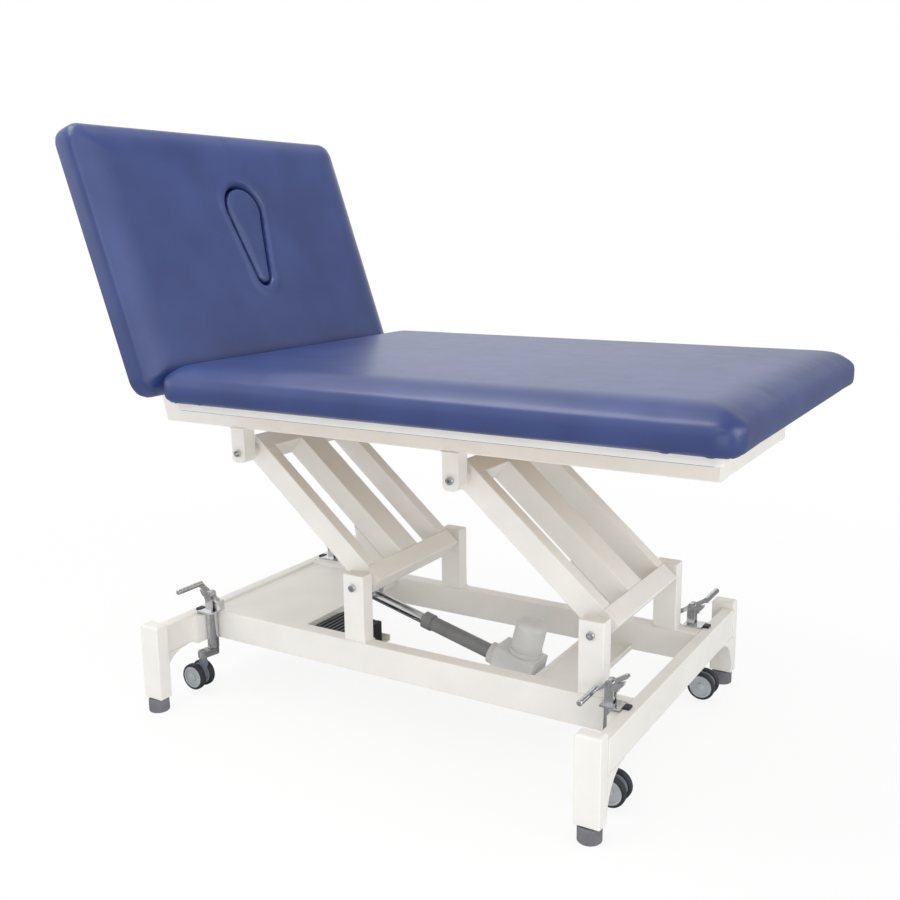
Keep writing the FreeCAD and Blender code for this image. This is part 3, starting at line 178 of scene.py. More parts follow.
def birchPlywood():
    # rotary-cut birch, sealed: pale long figure on the face, thin dark and light plies at the edge
    material, tree, shader, coords = startMaterial("birchPlywood", {"IOR": 1.5})
    along = addNode(tree, "ShaderNodeMapping", {"Scale": (1.2, 14.0, 60.0)}, {"Vector": coords})
    grain = {"Scale": 7.0, "Detail": 6.0, "Distortion": 0.6}
    figure = addNode(tree, "ShaderNodeTexNoise", grain, {"Vector": along.outputs["Vector"]})
    layers = {"Scale": 100.0, "Distortion": 0.4}
    plies = addNode(tree, "ShaderNodeTexWave", layers, {"Vector": coords}, bands_direction="Z")
    blend = addNode(tree, "ShaderNodeMix", {"Factor": 0.35}, data_type="FLOAT")
    tree.links.new(figure.outputs["Fac"], blend.inputs[2])
    tree.links.new(plies.outputs["Fac"], blend.inputs[3])
    mixedColour(tree, shader, blend.outputs[0], "#b08d5e", "#d9bd90", 0.3, 0.75)
    roughnessRange(tree, shader, figure.outputs["Fac"], 0.45, 0.6)
    addBump(tree, shader, figure.outputs["Fac"], 0.00015, 0.6)
    return material


vinyl = upholsteryVinyl()
paint = powderCoat()
plywood = birchPlywood()
chromePlate = brightMetal("chromePlate", "#c3c5c9", "#dcdde0", (0.08, 0.20), (1, 1, 1), 0.00002)
zincPlate = brightMetal("zincPlate", "#9da0a3", "#c4c6c8", (0.28, 0.42), (1, 1, 1), 0.00004)
drawnSteel = brightMetal("drawnSteel", "#b9bcc0", "#d3d5d8", (0.12, 0.24), (0.15, 3, 3), 0.00002)
tubePaint = mouldedPlastic("anodisedTube", "#7b7d7f", "#898b8d", (0.34, 0.46), 0.9, 0.02)
shellPlastic = mouldedPlastic("polyamideShell", "#d4d4d3", "#dededc", (0.42, 0.56), 1.6, 0.05)
boxPlastic = mouldedPlastic("absBox", "#1b1c1e", "#27282b", (0.40, 0.56), 1.4, 0.06)
acetal = mouldedPlastic("acetalBush", "#d9d8d2", "#e6e5e0", (0.35, 0.45), 2.0, 0.02)
nylonGrey = mouldedPlastic("nylonHood", "#6a717c", "#7a828d", (0.30, 0.42), 2.0, 0.04)
discGrey = mouldedPlastic("nylonDisc", "#adb2b7", "#bbc0c5", (0.28, 0.40), 2.0, 0.03)
treadRubber = mouldedPlastic("polyurethaneTread", "#26292e", "#34383f", (0.55, 0.70), 1.2, 0.05)
padRubber = mouldedPlastic("nitrileRubber", "#6b6b71", "#7c7c83", (0.62, 0.80), 1.1, 0.08)

slotLooks = {
    "frame_paint": paint, "vinyl": vinyl, "plywood": plywood, "steel_bright": chromePlate,
    "zinc_steel": zincPlate, "rubber_pad": padRubber, "actuator_shell": shellPlastic,
    "actuator_tube": tubePaint, "rod_steel": drawnSteel, "box_plastic": boxPlastic,
    "bush_plastic": acetal, "caster_plastic": nylonGrey, "wheel": discGrey,
}
for subpart in frame["record"]["subparts"]:
    cadMesh = nodes[subpart["node"]].data
    cadMesh.materials.clear()
    cadMesh.materials.append(slotLooks[subpart["material_slot"]])
print("materials made")


# Small helpers for pieces

mergeDistance = 0.00002


def pieceFrom(name, shape, material, body, sharp=35):
    bmesh.ops.remove_doubles(shape, verts=shape.verts, dist=mergeDistance)
    bmesh.ops.recalc_face_normals(shape, faces=shape.faces)
    mesh = bpy.data.meshes.new(name)
    shape.to_mesh(mesh)
    shape.free()
    mesh.materials.append(material)
    mesh.shade_smooth()
    mesh.set_sharp_from_angle(angle=math.radians(sharp))
    piece = bpy.data.objects.new(name, mesh)
    bpy.context.scene.collection.objects.link(piece)
    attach(piece, body)


def spunInto(shape, profile, place, steps):
    # a profile of (radius, height) pairs turned about Z, then put in place
    start = len(shape.verts)
    ring = [shape.verts.new((radius, 0, height)) for radius, height in profile]
    edges = [shape.edges.new(pair) for pair in zip(ring, ring[1:])]
    turn = {"cent": (0, 0, 0), "axis": (0, 0, 1), "angle": math.tau, "steps": steps, "use_merge": True}
    bmesh.ops.spin(shape, geom=ring + edges, **turn)
    shape.verts.ensure_lookup_table()
    fresh = shape.verts[start:]
    bmesh.ops.transform(shape, matrix=place, verts=fresh)


def boxInto(shape, low, high, bevel=0.0):
    # a block between two corners, with its edges broken if asked
    size = Vector(high) - Vector(low)
    centre = (Vector(high) + Vector(low)) / 2
    made = bmesh.ops.create_cube(shape, size=1.0)["verts"]
    bmesh.ops.scale(shape, vec=size, verts=made)
    if bevel:
        edges = list({edge for vert in made for edge in vert.link_edges})
        rounding = {"offset": bevel, "segments": 2, "profile": 0.5, "affect": "EDGES", "material": -1}
        out = bmesh.ops.bevel(shape, geom=edges, **rounding)
        kept = {vert for vert in made if vert.is_valid}
        made = list({vert for face in out["faces"] for vert in face.verts} | kept)
    bmesh.ops.translate(shape, vec=centre, verts=made)


def facing(direction):
    # Z turned to a direction
    return Vector(direction).to_track_quat("Z", "Y").to_matrix().to_4x4()


def at(x, y, z, direction=(0, 0, 1)):
    # millimetres from the middle of the base, as the drawing has them
    return Matrix.Translation((x / 1000 - middle, y / 1000, z / 1000)) @ facing(direction)


def mm(*pairs):
    return [(radius / 1000, height / 1000) for radius, height in pairs]


# Camera, light and floor

# millimetres from the middle of the base, degrees, and pixels of a photo 900 wide
cameraLook = {
    "x": 1370.06, "y": -2243.21, "z": 1213.59, "azimuth": 31.09, "pitch": 11.90, "roll": -0.65,
    "focalPx": 1068.89, "widePx": 900, "sensorMm": 36, "reachM": 60,
}


def makeCamera():
    look = cameraLook
    azimuth, pitch, roll = (math.radians(look[key]) for key in ("azimuth", "pitch", "roll"))
    level = math.cos(pitch)
    forward = Vector((-math.sin(azimuth) * level, math.cos(azimuth) * level, -math.sin(pitch)))
    right = Vector((math.cos(azimuth), math.sin(azimuth), 0))
    up = right.cross(forward)
    across = right * math.cos(roll) + up * math.sin(roll)
    upward = up * math.cos(roll) - right * math.sin(roll)
    data = bpy.data.cameras.new("photoCamera")
    data.sensor_width = look["sensorMm"]
    data.sensor_height = look["sensorMm"]
    data.lens = look["focalPx"] / look["widePx"] * look["sensorMm"]
    data.clip_end = look["reachM"]
    camera = bpy.data.objects.new("photoCamera", data)
    bpy.context.scene.collection.objects.link(camera)
    turn = Matrix((across, upward, -forward)).transposed().to_4x4()
    place = (look["x"] / 1000 - middle, look["y"] / 1000, look["z"] / 1000)
    camera.matrix_world = Matrix.Translation(place) @ turn
    bpy.context.scene.camera = camera


def softLamp(name, place, aim, size, power, tint):
    data = bpy.data.lights.new(name, "AREA")
    data.shape = "RECTANGLE"
    data.size, data.size_y = size
    data.energy = power
    data.color = tint
    lamp = bpy.data.objects.new(name, data)
    bpy.context.scene.collection.objects.link(lamp)
    away = Vector(aim) - Vector(place)
    lamp.matrix_world = Matrix.Translation(place) @ away.to_track_quat("-Z", "Y").to_matrix().to_4x4()


def softRange(tree, value, low, high, start, end):
    limits = {"From Min": low, "From Max": high, "To Min": start, "To Max": end}
    eased = addNode(tree, "ShaderNodeMapRange", limits, {"Value": value}, interpolation_type="SMOOTHSTEP")
    return eased.outputs["Result"]


def mixedBy(tree, factor, first, second):
    return addNode(tree, "ShaderNodeMixShader", links={0: factor, 1: first.outputs[0], 2: second.outputs[0]})


surroundLook = {
    "diffuse": 0.84, "leftReflection": 1.0, "rightReflection": 0.30, "fromX": -0.45, "toX": 0.40,
    "backReflection": 1.1, "backFromX": 0.45, "backToX": 0.85,
}


def whiteSurround():
    # white to the camera; what gloss sees falls off to the right and rises again further round
    look = surroundLook
    world = bpy.data.worlds.new("studioWorld")
    world.use_nodes = True
    bpy.context.scene.world = world
    tree = world.node_tree
    tree.nodes.clear()
    rays = addNode(tree, "ShaderNodeLightPath")
    way = addNode(tree, "ShaderNodeTexCoord").outputs["Generated"]
    split = addNode(tree, "ShaderNodeSeparateXYZ", links={"Vector": way})
    across = split.outputs["X"]
    left, right = look["leftReflection"], look["rightReflection"]
    fall = softRange(tree, across, look["fromX"], look["toX"], left, right)
    rise = softRange(tree, across, look["backFromX"], look["backToX"], 0.0, look["backReflection"])
    walls = addNode(tree, "ShaderNodeMath", links={0: fall, 1: rise}, operation="ADD")
    dim = addNode(tree, "ShaderNodeBackground", {"Color": (1, 1, 1, 1), "Strength": look["diffuse"]})
    glossed = addNode(tree, "ShaderNodeBackground", {"Color": (1, 1, 1, 1)}, {"Strength": walls.outputs[0]})
    white = addNode(tree, "ShaderNodeBackground", {"Color": (1, 1, 1, 1), "Strength": 1.0})
    first = mixedBy(tree, rays.outputs["Is Glossy Ray"], dim, glossed)
    both = mixedBy(tree, rays.outputs["Is Camera Ray"], first, white)
    addNode(tree, "ShaderNodeOutputWorld", links={"Surface": both.outputs[0]})


# the reflected shade is a painted darker tone that only glossy rays see of the floor, so its reflections in
# the table come out darker; metres for the fade and the drop
floorLook = {
    "tone": "#f6f6f6", "mirrored": "#a0a0a0", "whiteShare": 0.86, "fadeStart": 1.3, "fadeEnd": 3.0,
    "half": 20.0, "cells": 8, "drop": 0.0005,
}


def paleFloor():
    # a matt studio floor that fades into the white surround and keeps the table's shadow
    look = floorLook
    shape = bmesh.new()
    bmesh.ops.create_grid(shape, x_segments=look["cells"], y_segments=look["cells"], size=look["half"])
    mesh = bpy.data.meshes.new("studioFloor")
    shape.to_mesh(mesh)
    shape.free()
    material = bpy.data.materials.new("studioFloor")
    material.use_nodes = True
    tree = material.node_tree
    tree.nodes.clear()
    plain = addNode(tree, "ShaderNodeBsdfDiffuse", {"Color": srgb(look["tone"])})
    # painted shade: glossy rays see the floor in this darker grey instead of its own pale tone
    dull = addNode(tree, "ShaderNodeBsdfDiffuse", {"Color": srgb(look["mirrored"])})
    glow = addNode(tree, "ShaderNodeEmission", {"Color": (1, 1, 1, 1), "Strength": 1.0})
    coords = addNode(tree, "ShaderNodeTexCoord").outputs["Object"]
    away = addNode(tree, "ShaderNodeVectorMath", links={0: coords}, operation="LENGTH").outputs["Value"]
    fade = softRange(tree, away, look["fadeStart"], look["fadeEnd"], look["whiteShare"], 1.0)
    rays = addNode(tree, "ShaderNodeLightPath")
    parts = {0: rays.outputs["Is Camera Ray"], 1: fade}
    share = addNode(tree, "ShaderNodeMath", links=parts, operation="MULTIPLY")
    seen = mixedBy(tree, rays.outputs["Is Glossy Ray"], plain, dull)
    both = mixedBy(tree, share.outputs[0], seen, glow)
    addNode(tree, "ShaderNodeOutputMaterial", links={"Surface": both.outputs[0]})
    mesh.materials.append(material)
    floor = bpy.data.objects.new("studioFloor", mesh)
    floor.location.z = -look["drop"]
    bpy.context.scene.collection.objects.link(floor)


makeCamera()
whiteSurround()
paleFloor()
whiteTint = (1.0, 1.0, 1.0)
softLamp("overheadBank", (-0.7, -0.8, 3.3), (0, 0, 0.7), (1.9, 1.3), 34, (1.0, 0.995, 0.985))
softLamp("keyBank", (1.1, -2.7, 2.6), (-0.2, 0, 0.9), (1.5, 1.1), 9, whiteTint)
softLamp("leftBank", (-3.6, -2.2, 1.3), (0, 0, 0.6), (2.0, 1.6), 7, whiteTint)
softLamp("rightBank", (3.5, -0.3, 1.5), (0, 0, 0.8), (1.6, 1.8), 22, whiteTint)
softLamp("lowBank", (2.0, -4.0, 0.5), (0, 0, 0.5), (3.0, 0.7), 16, whiteTint)
bpy.context.scene.view_settings.view_transform = "Standard"
print("camera and light placed")


# Cushions

hinge = Vector((-0.520 - middle, 0, 0.865870))
raise71 = Matrix.Translation(hinge) @ Matrix.Rotation(math.radians(71), 4, "Y") @ Matrix.Translation(-hinge)
unmoved = Matrix.Identity(4)
boardTop = 0.8178698
cushionTop = boardTop + 0.085
padFoot = boardTop + 0.0003
coverCloth = {"quality": 5, "mass": 0.4, "stretch": 18, "shear": 8, "bend": 3, "pressure": 4.0, "frames": 20}
seatCushion = {
    "voxelMm": 9.0, "startSmallerMm": 4.0, "capMm": 8.0, "smoothed": 5, "fill": 0.85,
    "footMm": 3.5,
}
backCushion = {
    "voxelMm": 7.0, "startSmallerMm": 4.0, "capMm": 1.5, "smoothed": 6, "fill": 0.85,
    "headMm": -625.0, "footEndMm": 38.0, "halfMm": 500.0,
}
plugCushion = {"voxelMm": 3.5, "startSmallerMm": 1.2, "capMm": 1.6, "smoothed": 3, "fill": 0.9}


def smoothedIn(shape, rounds):
    for turn in range(rounds):
        bmesh.ops.smooth_vert(
            shape, verts=shape.verts, factor=0.5, use_axis_x=True, use_axis_y=True, use_axis_z=True)


def bareCushion(name, node, place, plan):
    # a slightly smaller, evenly meshed copy of the foam block
    shape = bmesh.new()
    shape.from_mesh(nodes[node].data)
    bmesh.ops.transform(shape, matrix=place, verts=shape.verts)
    bmesh.ops.remove_doubles(shape, verts=shape.verts, dist=mergeDistance)
    mesh = bpy.data.meshes.new(name)
    shape.to_mesh(mesh)
    shape.free()
    piece = bpy.data.objects.new(name, mesh)
    bpy.context.scene.collection.objects.link(piece)
    remesh = piece.modifiers.new("remesh", "REMESH")
    remesh.mode = "VOXEL"
    remesh.voxel_size = plan["voxelMm"] / 1000
    remesh.use_smooth_shade = True
    applyModifiers(piece)
    shape = bmesh.new()
    shape.from_mesh(piece.data)
    shape.normal_update()
    for vert in shape.verts:
        vert.co -= vert.normal * plan["startSmallerMm"] / 1000
    smoothedIn(shape, 2)
    shape.to_mesh(piece.data)
    shape.free()
    return piece


def applyModifiers(piece):
    graph = bpy.context.evaluated_depsgraph_get()
    fresh = bpy.data.meshes.new_from_object(piece.evaluated_get(graph), depsgraph=graph)
    old = piece.data
    piece.modifiers.clear()
    piece.data = fresh
    bpy.data.meshes.remove(old)


def inflate(piece, capMm, floorZ):
    # the cover is blown up like a taut skin over foam, and no point may go further than the cap
    rest = [vert.co.copy() for vert in piece.data.vertices]
    look = coverCloth
    cloth = piece.modifiers.new("cover", "CLOTH")
    cloth.settings.quality = look["quality"]
    cloth.settings.mass = look["mass"]
    cloth.settings.tension_stiffness = look["stretch"]
    cloth.settings.compression_stiffness = look["stretch"]
    cloth.settings.shear_stiffness = look["shear"]
    cloth.settings.bending_stiffness = look["bend"]
    cloth.settings.use_pressure = True
    cloth.settings.uniform_pressure_force = look["pressure"]
    cloth.settings.effector_weights.gravity = 0
    cloth.point_cache.frame_start = 1
    cloth.point_cache.frame_end = look["frames"]
    for step in range(1, look["frames"] + 1):
        bpy.context.scene.frame_set(step)
    applyModifiers(piece)
    bpy.context.scene.frame_set(1)
    cap = capMm / 1000
    for vert, start in zip(piece.data.vertices, rest):
        move = vert.co - start
        if move.length > cap:
            move *= cap / move.length
        vert.co = start + move
        vert.co.z = max(vert.co.z, floorZ)


def cushionSmoothed(piece, rounds):
    shape = bmesh.new()
    shape.from_mesh(piece.data)
    smoothedIn(shape, rounds)
    shape.to_mesh(piece.data)
    shape.free()


def flattenFoot(piece):
    # the cushion lies flat on the board
    for vert in piece.data.vertices:
        if vert.co.z < padFoot + seatCushion["footMm"] / 1000:
            vert.co.z = padFoot


cushionPlan = {"madeMm": 30.0, "wantedMm": 46.0, "proudMm": 1.0, "share": 4}
cushionCrown = {"madeRollMm": 28.0, "rollMm": 92.0, "dropMm": 37.0, "centreMm": 2.0}


def roundedInPlan(piece, low, high):
    # stretched back to the foam block's outline, with its corners drawn in to a larger radius
    look = cushionPlan
    made, wanted = look["madeMm"] / 1000, look["wantedMm"] / 1000
    offset = wanted - made
    for axis in (0, 1):
        centre = (low[axis] + high[axis]) / 2
        for side, edge in ((-1, low[axis]), (1, high[axis])):
            reached = max((vert.co[axis] - centre) * side for vert in piece.data.vertices)
            short = abs(edge - centre) + look["proudMm"] / 1000 - reached
            for vert in piece.data.vertices:
                share = (vert.co[axis] - centre) * side / reached
                if share > 0:
                    vert.co[axis] += side * short * share ** look["share"]
    for vert in piece.data.vertices:
        signX = 1 if vert.co.x > (low.x + high.x) / 2 else -1
        signY = 1 if vert.co.y > (low.y + high.y) / 2 else -1
        cornerX = (high.x if signX > 0 else low.x) - signX * wanted
        cornerY = (high.y if signY > 0 else low.y) - signY * wanted
        dx, dy = (vert.co.x - cornerX) * signX, (vert.co.y - cornerY) * signY
        if dx <= 0 or dy <= 0:
            continue
        length = math.hypot(dx, dy)
        cosine, sine = dx / length, dy / length
        reach = wanted / max(cosine, sine)
        if min(cosine, sine) / max(cosine, sine) * wanted > offset:
            along = offset * (cosine + sine)
            reach = along + math.sqrt(along * along - 2 * offset * offset + made * made)
        vert.co.x = cornerX + signX * dx * wanted / reach
        vert.co.y = cornerY + signY * dy * wanted / reach


def insideRim(x, y, low, high, corner):
    # how far a point lies inside the rounded outline
    dx = corner - min(x - low.x, high.x - x)
    dy = corner - min(y - low.y, high.y - y)
    return corner - math.hypot(max(dx, 0.0), max(dy, 0.0)) - min(0.0, max(dx, dy))


def rollDrop(inside, width, depth):
    share = min(1.0, max(0.0, 1 - inside / width))
    return depth * (1 - math.sqrt(1 - share * share))


def crowned(piece, low, high):
    # the cover pulls the foam down in a wide roll towards its rim, more than the block's own edge
    look = cushionCrown
    madeRoll, roll, drop = (look[key] / 1000 for key in ("madeRollMm", "rollMm", "dropMm"))
    corner = cushionPlan["wantedMm"] / 1000
    thick = cushionTop - boardTop
    halfX, halfY = (high.x - low.x) / 2, (high.y - low.y) / 2
    for vert in piece.data.vertices:
        inside = insideRim(vert.co.x, vert.co.y, low, high, corner)
        was = thick - rollDrop(inside, madeRoll, madeRoll)
        out = max(abs(vert.co.x - low.x - halfX) / halfX, abs(vert.co.y - low.y - halfY) / halfY)
        share = 1 - min(1.0, out) ** 2
        now = thick - rollDrop(inside, roll, drop) + look["centreMm"] / 1000 * share
        vert.co.z = boardTop + (vert.co.z - boardTop) * now / was


def finishCushion(piece, node, body, place, subdivide):
    if subdivide:
        level = piece.modifiers.new("finer", "SUBSURF")
        level.levels = 1
        level.render_levels = 1
        applyModifiers(piece)
    piece.data.transform(place)
    piece.data.materials.clear()
    piece.data.materials.append(vinyl)
    piece.data.shade_smooth()
    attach(piece, body)
    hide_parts(node)


seat = bareCushion("seatPad", "seat_cushion", unmoved, seatCushion)
inflate(seat, seatCushion["capMm"], padFoot)
cushionSmoothed(seat, seatCushion["smoothed"])
seatBox = [Vector(corner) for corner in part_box("seat_cushion")]
roundedInPlan(seat, *seatBox)
crowned(seat, *seatBox)
flattenFoot(seat)
finishCushion(seat, "seat_cushion", "top_frame", unmoved, False)
print("seat cushion made with", len(seat.data.polygons), "faces")

# the drop-shaped outline in metres from the hinge, the relief round it in millimetres
faceHole = {
    "topX": -0.402, "topR": 0.064, "tipX": -0.223, "tipR": 0.025,
    "rimMm": 6.0, "lipMm": 4.2, "lipReachMm": 38.0,
    "dimpleMm": 6.0, "dimpleStartMm": 30.0, "dimpleFullMm": 50.0,
    "farMm": 60.0, "wallTopMm": 45.0, "reliefTopMm": 20.0, "wallMm": 2.0, "wallGapMm": 0.8,
}


def distanceToHole(x, y):
    # outside the drop-shaped hole this is how far its edge is, inside it is negative
    look = faceHole
    startX = hinge.x + look["topX"]
    endX = hinge.x + look["tipX"]
    length = endX - startX
    slope = (look["topR"] - look["tipR"]) / length
    along = (x - startX + abs(y) * slope / math.sqrt(1 - slope * slope)) / length
    along = min(1.0, max(0.0, along))
    radius = look["topR"] + (look["tipR"] - look["topR"]) * along
    return math.hypot(x - startX - along * length, y) - radius


def shapeFaceHole(piece):
    # the vinyl rolls over the rim of the hole, with a soft swelling beside it and a dimple above it
    look = faceHole
    rim = look["rimMm"] / 1000
    for vert in piece.data.vertices:
        away = distanceToHole(vert.co.x, vert.co.y)
        if away > look["farMm"] / 1000 or vert.co.z < cushionTop - look["wallTopMm"] / 1000:
            if away < look["wallMm"] / 1000 and vert.co.z < cushionTop:
                centre = Vector((hinge.x + look["topX"], 0, vert.co.z))
                vert.co += (vert.co - centre).normalized() * max(0.0, look["wallGapMm"] / 1000 - away)
            continue
        share = max(0.0, 1 - away / (look["lipReachMm"] / 1000))
        if vert.co.z > cushionTop - look["reliefTopMm"] / 1000:
            vert.co.z += look["lipMm"] / 1000 * math.sin(math.pi * min(1.0, share)) ** 2
            beyond = hinge.x + look["topX"] - look["dimpleStartMm"] / 1000 - vert.co.x
            over = max(0.0, beyond / (look["dimpleFullMm"] / 1000))
            vert.co.z -= look["dimpleMm"] / 1000 * min(1.0, over) * share ** 2
            if away < rim:
                drop = rim - math.sqrt(max(0.0, rim * rim - (rim - max(away, 0.0)) ** 2))
                vert.co.z -= drop


back = bareCushion("backPad", "back_cushion", raise71.inverted(), backCushion)
inflate(back, backCushion["capMm"], padFoot)
cushionSmoothed(back, backCushion["smoothed"])
halfBack = backCushion["halfMm"] / 1000
backBox = [
    hinge + Vector((backCushion["headMm"] / 1000, -halfBack, 0)),
    hinge + Vector((backCushion["footEndMm"] / 1000, halfBack, 0)),
]
roundedInPlan(back, *backBox)
crowned(back, *backBox)
flattenFoot(back)
shapeFaceHole(back)
finishCushion(back, "back_cushion", "backrest", raise71, False)
print("back cushion made with", len(back.data.polygons), "faces")

plug = bareCushion("facePlug", "face_plug", raise71.inverted(), plugCushion)
inflate(plug, plugCushion["capMm"], boardTop)
cushionSmoothed(plug, plugCushion["smoothed"])
finishCushion(plug, "face_plug", "face_plug_body", raise71, True)
print("face plug made")


# Edge bands of the boards, and the turned-in vinyl with its staples

bandLook = {"thickMm": 1.0, "foldMm": 22.0, "cornerMm": 15.0, "seatMm": 0.1, "softMm": 0.3}
stapleLook = {"stepMm": 38.0, "halfLongMm": 5.0, "halfWireMm": 0.6, "proudMm": 0.6, "sunkMm": 0.3}
bandGrow = Vector((0.0004, 0.0004, -0.0002))


def edgeBand(name, low, high, place, body, gaps, folds):
    # a lacquered band on the board's rim, open at the hinge, and the cover's edge stapled down beside it
    look = bandLook
    thick = look["thickMm"] / 1000
    shape = bmesh.new()
    made = bmesh.ops.create_cube(shape, size=1.0)["verts"]
    bmesh.ops.scale(shape, vec=Vector(high) - Vector(low) + bandGrow, verts=made)
    bmesh.ops.translate(shape, vec=(Vector(high) + Vector(low)) / 2, verts=made)
    lids = [face for face in shape.faces if abs(face.normal.z) > 0.5]
    bmesh.ops.delete(shape, geom=lids, context="FACES_ONLY")
    uprights = [edge for edge in shape.edges if abs(edge.verts[0].co.z - edge.verts[1].co.z) > 0.001]
    corner = look["cornerMm"] / 1000
    rounding = {"segments": 6, "profile": 0.5, "affect": "EDGES", "material": -1}
    bmesh.ops.bevel(shape, geom=uprights, offset=corner, **rounding)
    for side in (-1, 1):
        for edge in (gap for pair in gaps for gap in pair):
            everything = shape.verts[:] + shape.edges[:] + shape.faces[:]
            cutPoint = (0, side * edge / 1000, 0)
            bmesh.ops.bisect_plane(shape, geom=everything, plane_co=cutPoint, plane_no=(0, 1, 0))
    cut = []
    for face in shape.faces:
        centre = face.calc_center_median()
        if abs(face.normal.x) > 0.9 and centre.x > high[0] - 0.01:
            if any(first < abs(centre.y) * 1000 < last for first, last in gaps):
                cut.append(face)
    bmesh.ops.delete(shape, geom=cut, context="FACES")
    bmesh.ops.recalc_face_normals(shape, faces=shape.faces)
    bmesh.ops.solidify(shape, geom=shape.faces[:], thickness=-thick)
    bmesh.ops.transform(shape, matrix=place, verts=shape.verts)
    pieceFrom(name, shape, paint, body)
    shape = bmesh.new()
    foldTop = low[2] - look["seatMm"] / 1000
    for first, last in folds:
        foldLow = (first[0], first[1], low[2] - thick)
        boxInto(shape, foldLow, (last[0], last[1], foldTop), look["softMm"] / 1000)
    bmesh.ops.transform(shape, matrix=place, verts=shape.verts)
    pieceFrom(name + "Fold", shape, vinyl, body)
    shape = bmesh.new()
    staple = {key: value / 1000 for key, value in stapleLook.items()}
    step = staple["stepMm"]
    for first, last in folds:
        wide, deep = last[0] - first[0], last[1] - first[1]
        centre = Vector(((first[0] + last[0]) / 2, (first[1] + last[1]) / 2, low[2] - thick))
        count = max(1, int(max(wide, deep) / step))
        for index in range(count):
            away = (index - (count - 1) / 2) * step
            move, half = (away, 0, 0), (staple["halfLongMm"], staple["halfWireMm"], 0)
            if wide <= deep:
                move, half = (0, away, 0), (half[1], half[0], 0)
            lower = centre + Vector(move) - Vector(half) - Vector((0, 0, staple["proudMm"]))
            upper = centre + Vector(move) + Vector(half) + Vector((0, 0, staple["sunkMm"]))
            boxInto(shape, lower, upper)
    bmesh.ops.transform(shape, matrix=place, verts=shape.verts)
    pieceFrom(name + "Staples", shape, zincPlate, body)


def foldsRound(low, high, leftOut):
    # strips under the board's rim; the ones across it are left out where a tube runs
    fold = bandLook["foldMm"] / 1000
    inset = bandLook["cornerMm"] / 1000
    strips = [
        ((low[0] + inset, low[1]), (high[0] - inset, low[1] + fold)),
        ((low[0] + inset, high[1] - fold), (high[0] - inset, high[1])),
    ]
    for ends, blocked in zip(((low[0], low[0] + fold), (high[0] - fold, high[0])), leftOut):
        stops = [low[1] + inset + fold]
        for first, last in blocked:
            stops += [-last / 1000, -first / 1000]
        for first, last in reversed(blocked):
            stops += [first / 1000, last / 1000]
        stops.append(high[1] - inset - fold)
        strips += [((ends[0], start), (ends[1], stop)) for start, stop in zip(stops[::2], stops[1::2])]
    return strips


# stretches across the table, in millimetres from its middle, that tubes, lugs and rails take up
railSpan, lugSpan, backTubeSpan, hingeSpan = (208, 252), (184, 228), (160, 204), (150, 262)
seatLow, seatHigh = ([*corner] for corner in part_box("seat_board"))
seatFolds = foldsRound(seatLow, seatHigh, ([railSpan], []))
edgeBand("seatEdge", seatLow, seatHigh, unmoved, "top_frame", [], seatFolds)
backBoard = {"headMm": -585.0, "hingeEndMm": -2.0, "halfMm": 460.0, "thickMm": 20.0}
halfBoard = backBoard["halfMm"] / 1000
backLow = [hinge.x + backBoard["headMm"] / 1000, -halfBoard, boardTop - backBoard["thickMm"] / 1000]
backHigh = [hinge.x + backBoard["hingeEndMm"] / 1000, halfBoard, boardTop]
backFolds = foldsRound(backLow, backHigh, ([backTubeSpan], [hingeSpan]))
edgeBand("backEdge", backLow, backHigh, raise71, "backrest", [lugSpan], backFolds)
print("edge bands and staples made")


# Fasteners and fittings

def panHeadInto(shape, place, radiusMm, heightMm):
    # a low round head with a key socket, on a washer a little wider
    socket, depth, washer = radiusMm * 0.42, heightMm * 0.45, radiusMm * 1.5
    profile = mm(
        (0, depth), (socket, depth), (socket, heightMm), (radiusMm * 0.72, heightMm),
        (radiusMm * 0.95, heightMm * 0.72), (radiusMm, 0.9), (radiusMm * 1.45, 0.9), (washer, 0.75),
        (washer, 0.0), (0, 0))
    spunInto(shape, profile, place, 24)


def ringInto(shape, place, innerMm, outerMm, thickMm):
    # a retaining ring or washer with slightly broken edges
    edge = min(0.25, thickMm / 4)
    profile = mm(
        (innerMm, 0), (outerMm - edge, 0), (outerMm, edge), (outerMm, thickMm - edge),
        (outerMm - edge, thickMm), (innerMm, thickMm), (innerMm, 0))
    spunInto(shape, profile, place, 28)


seatScrewLook = {
    "bearers": (-380, 60, 480), "across": (-170, -60, 60, 170),
    "zMm": 757.85, "radiusMm": 4.6, "heightMm": 3.0,
}
shape = bmesh.new()
for x in seatScrewLook["bearers"]:
    for y in seatScrewLook["across"]:
        place = at(x, y, seatScrewLook["zMm"], (0, 0, -1))
        panHeadInto(shape, place, seatScrewLook["radiusMm"], seatScrewLook["heightMm"])
pieceFrom("seatScrews", shape, zincPlate, "top_frame")

backScrewLook = {
    "hingeMm": -520, "reaches": (60, 215, 370, 540),
    "yMm": 178.7, "zMm": 767.85, "radiusMm": 4.2, "heightMm": 2.8,
}
shape = bmesh.new()
for reach in backScrewLook["reaches"]:
    for side in (-1, 1):
        x, y = backScrewLook["hingeMm"] - reach, side * backScrewLook["yMm"]
        place = at(x, y, backScrewLook["zMm"], (0, 0, -1))
        panHeadInto(shape, raise71 @ place, backScrewLook["radiusMm"], backScrewLook["heightMm"])
pieceFrom("backScrews", shape, zincPlate, "backrest")


def ringPair(name, body, middlePoint, awayMm, ring, turned=1):
    # one ring on each end of a pin that runs across the table
    x, y, z = middlePoint
    shape = bmesh.new()
    for side in (-1, 1):
        ringInto(shape, at(x, y + side * awayMm, z, (0, turned * side, 0)), *ring)
    pieceFrom(name, shape, zincPlate, body)


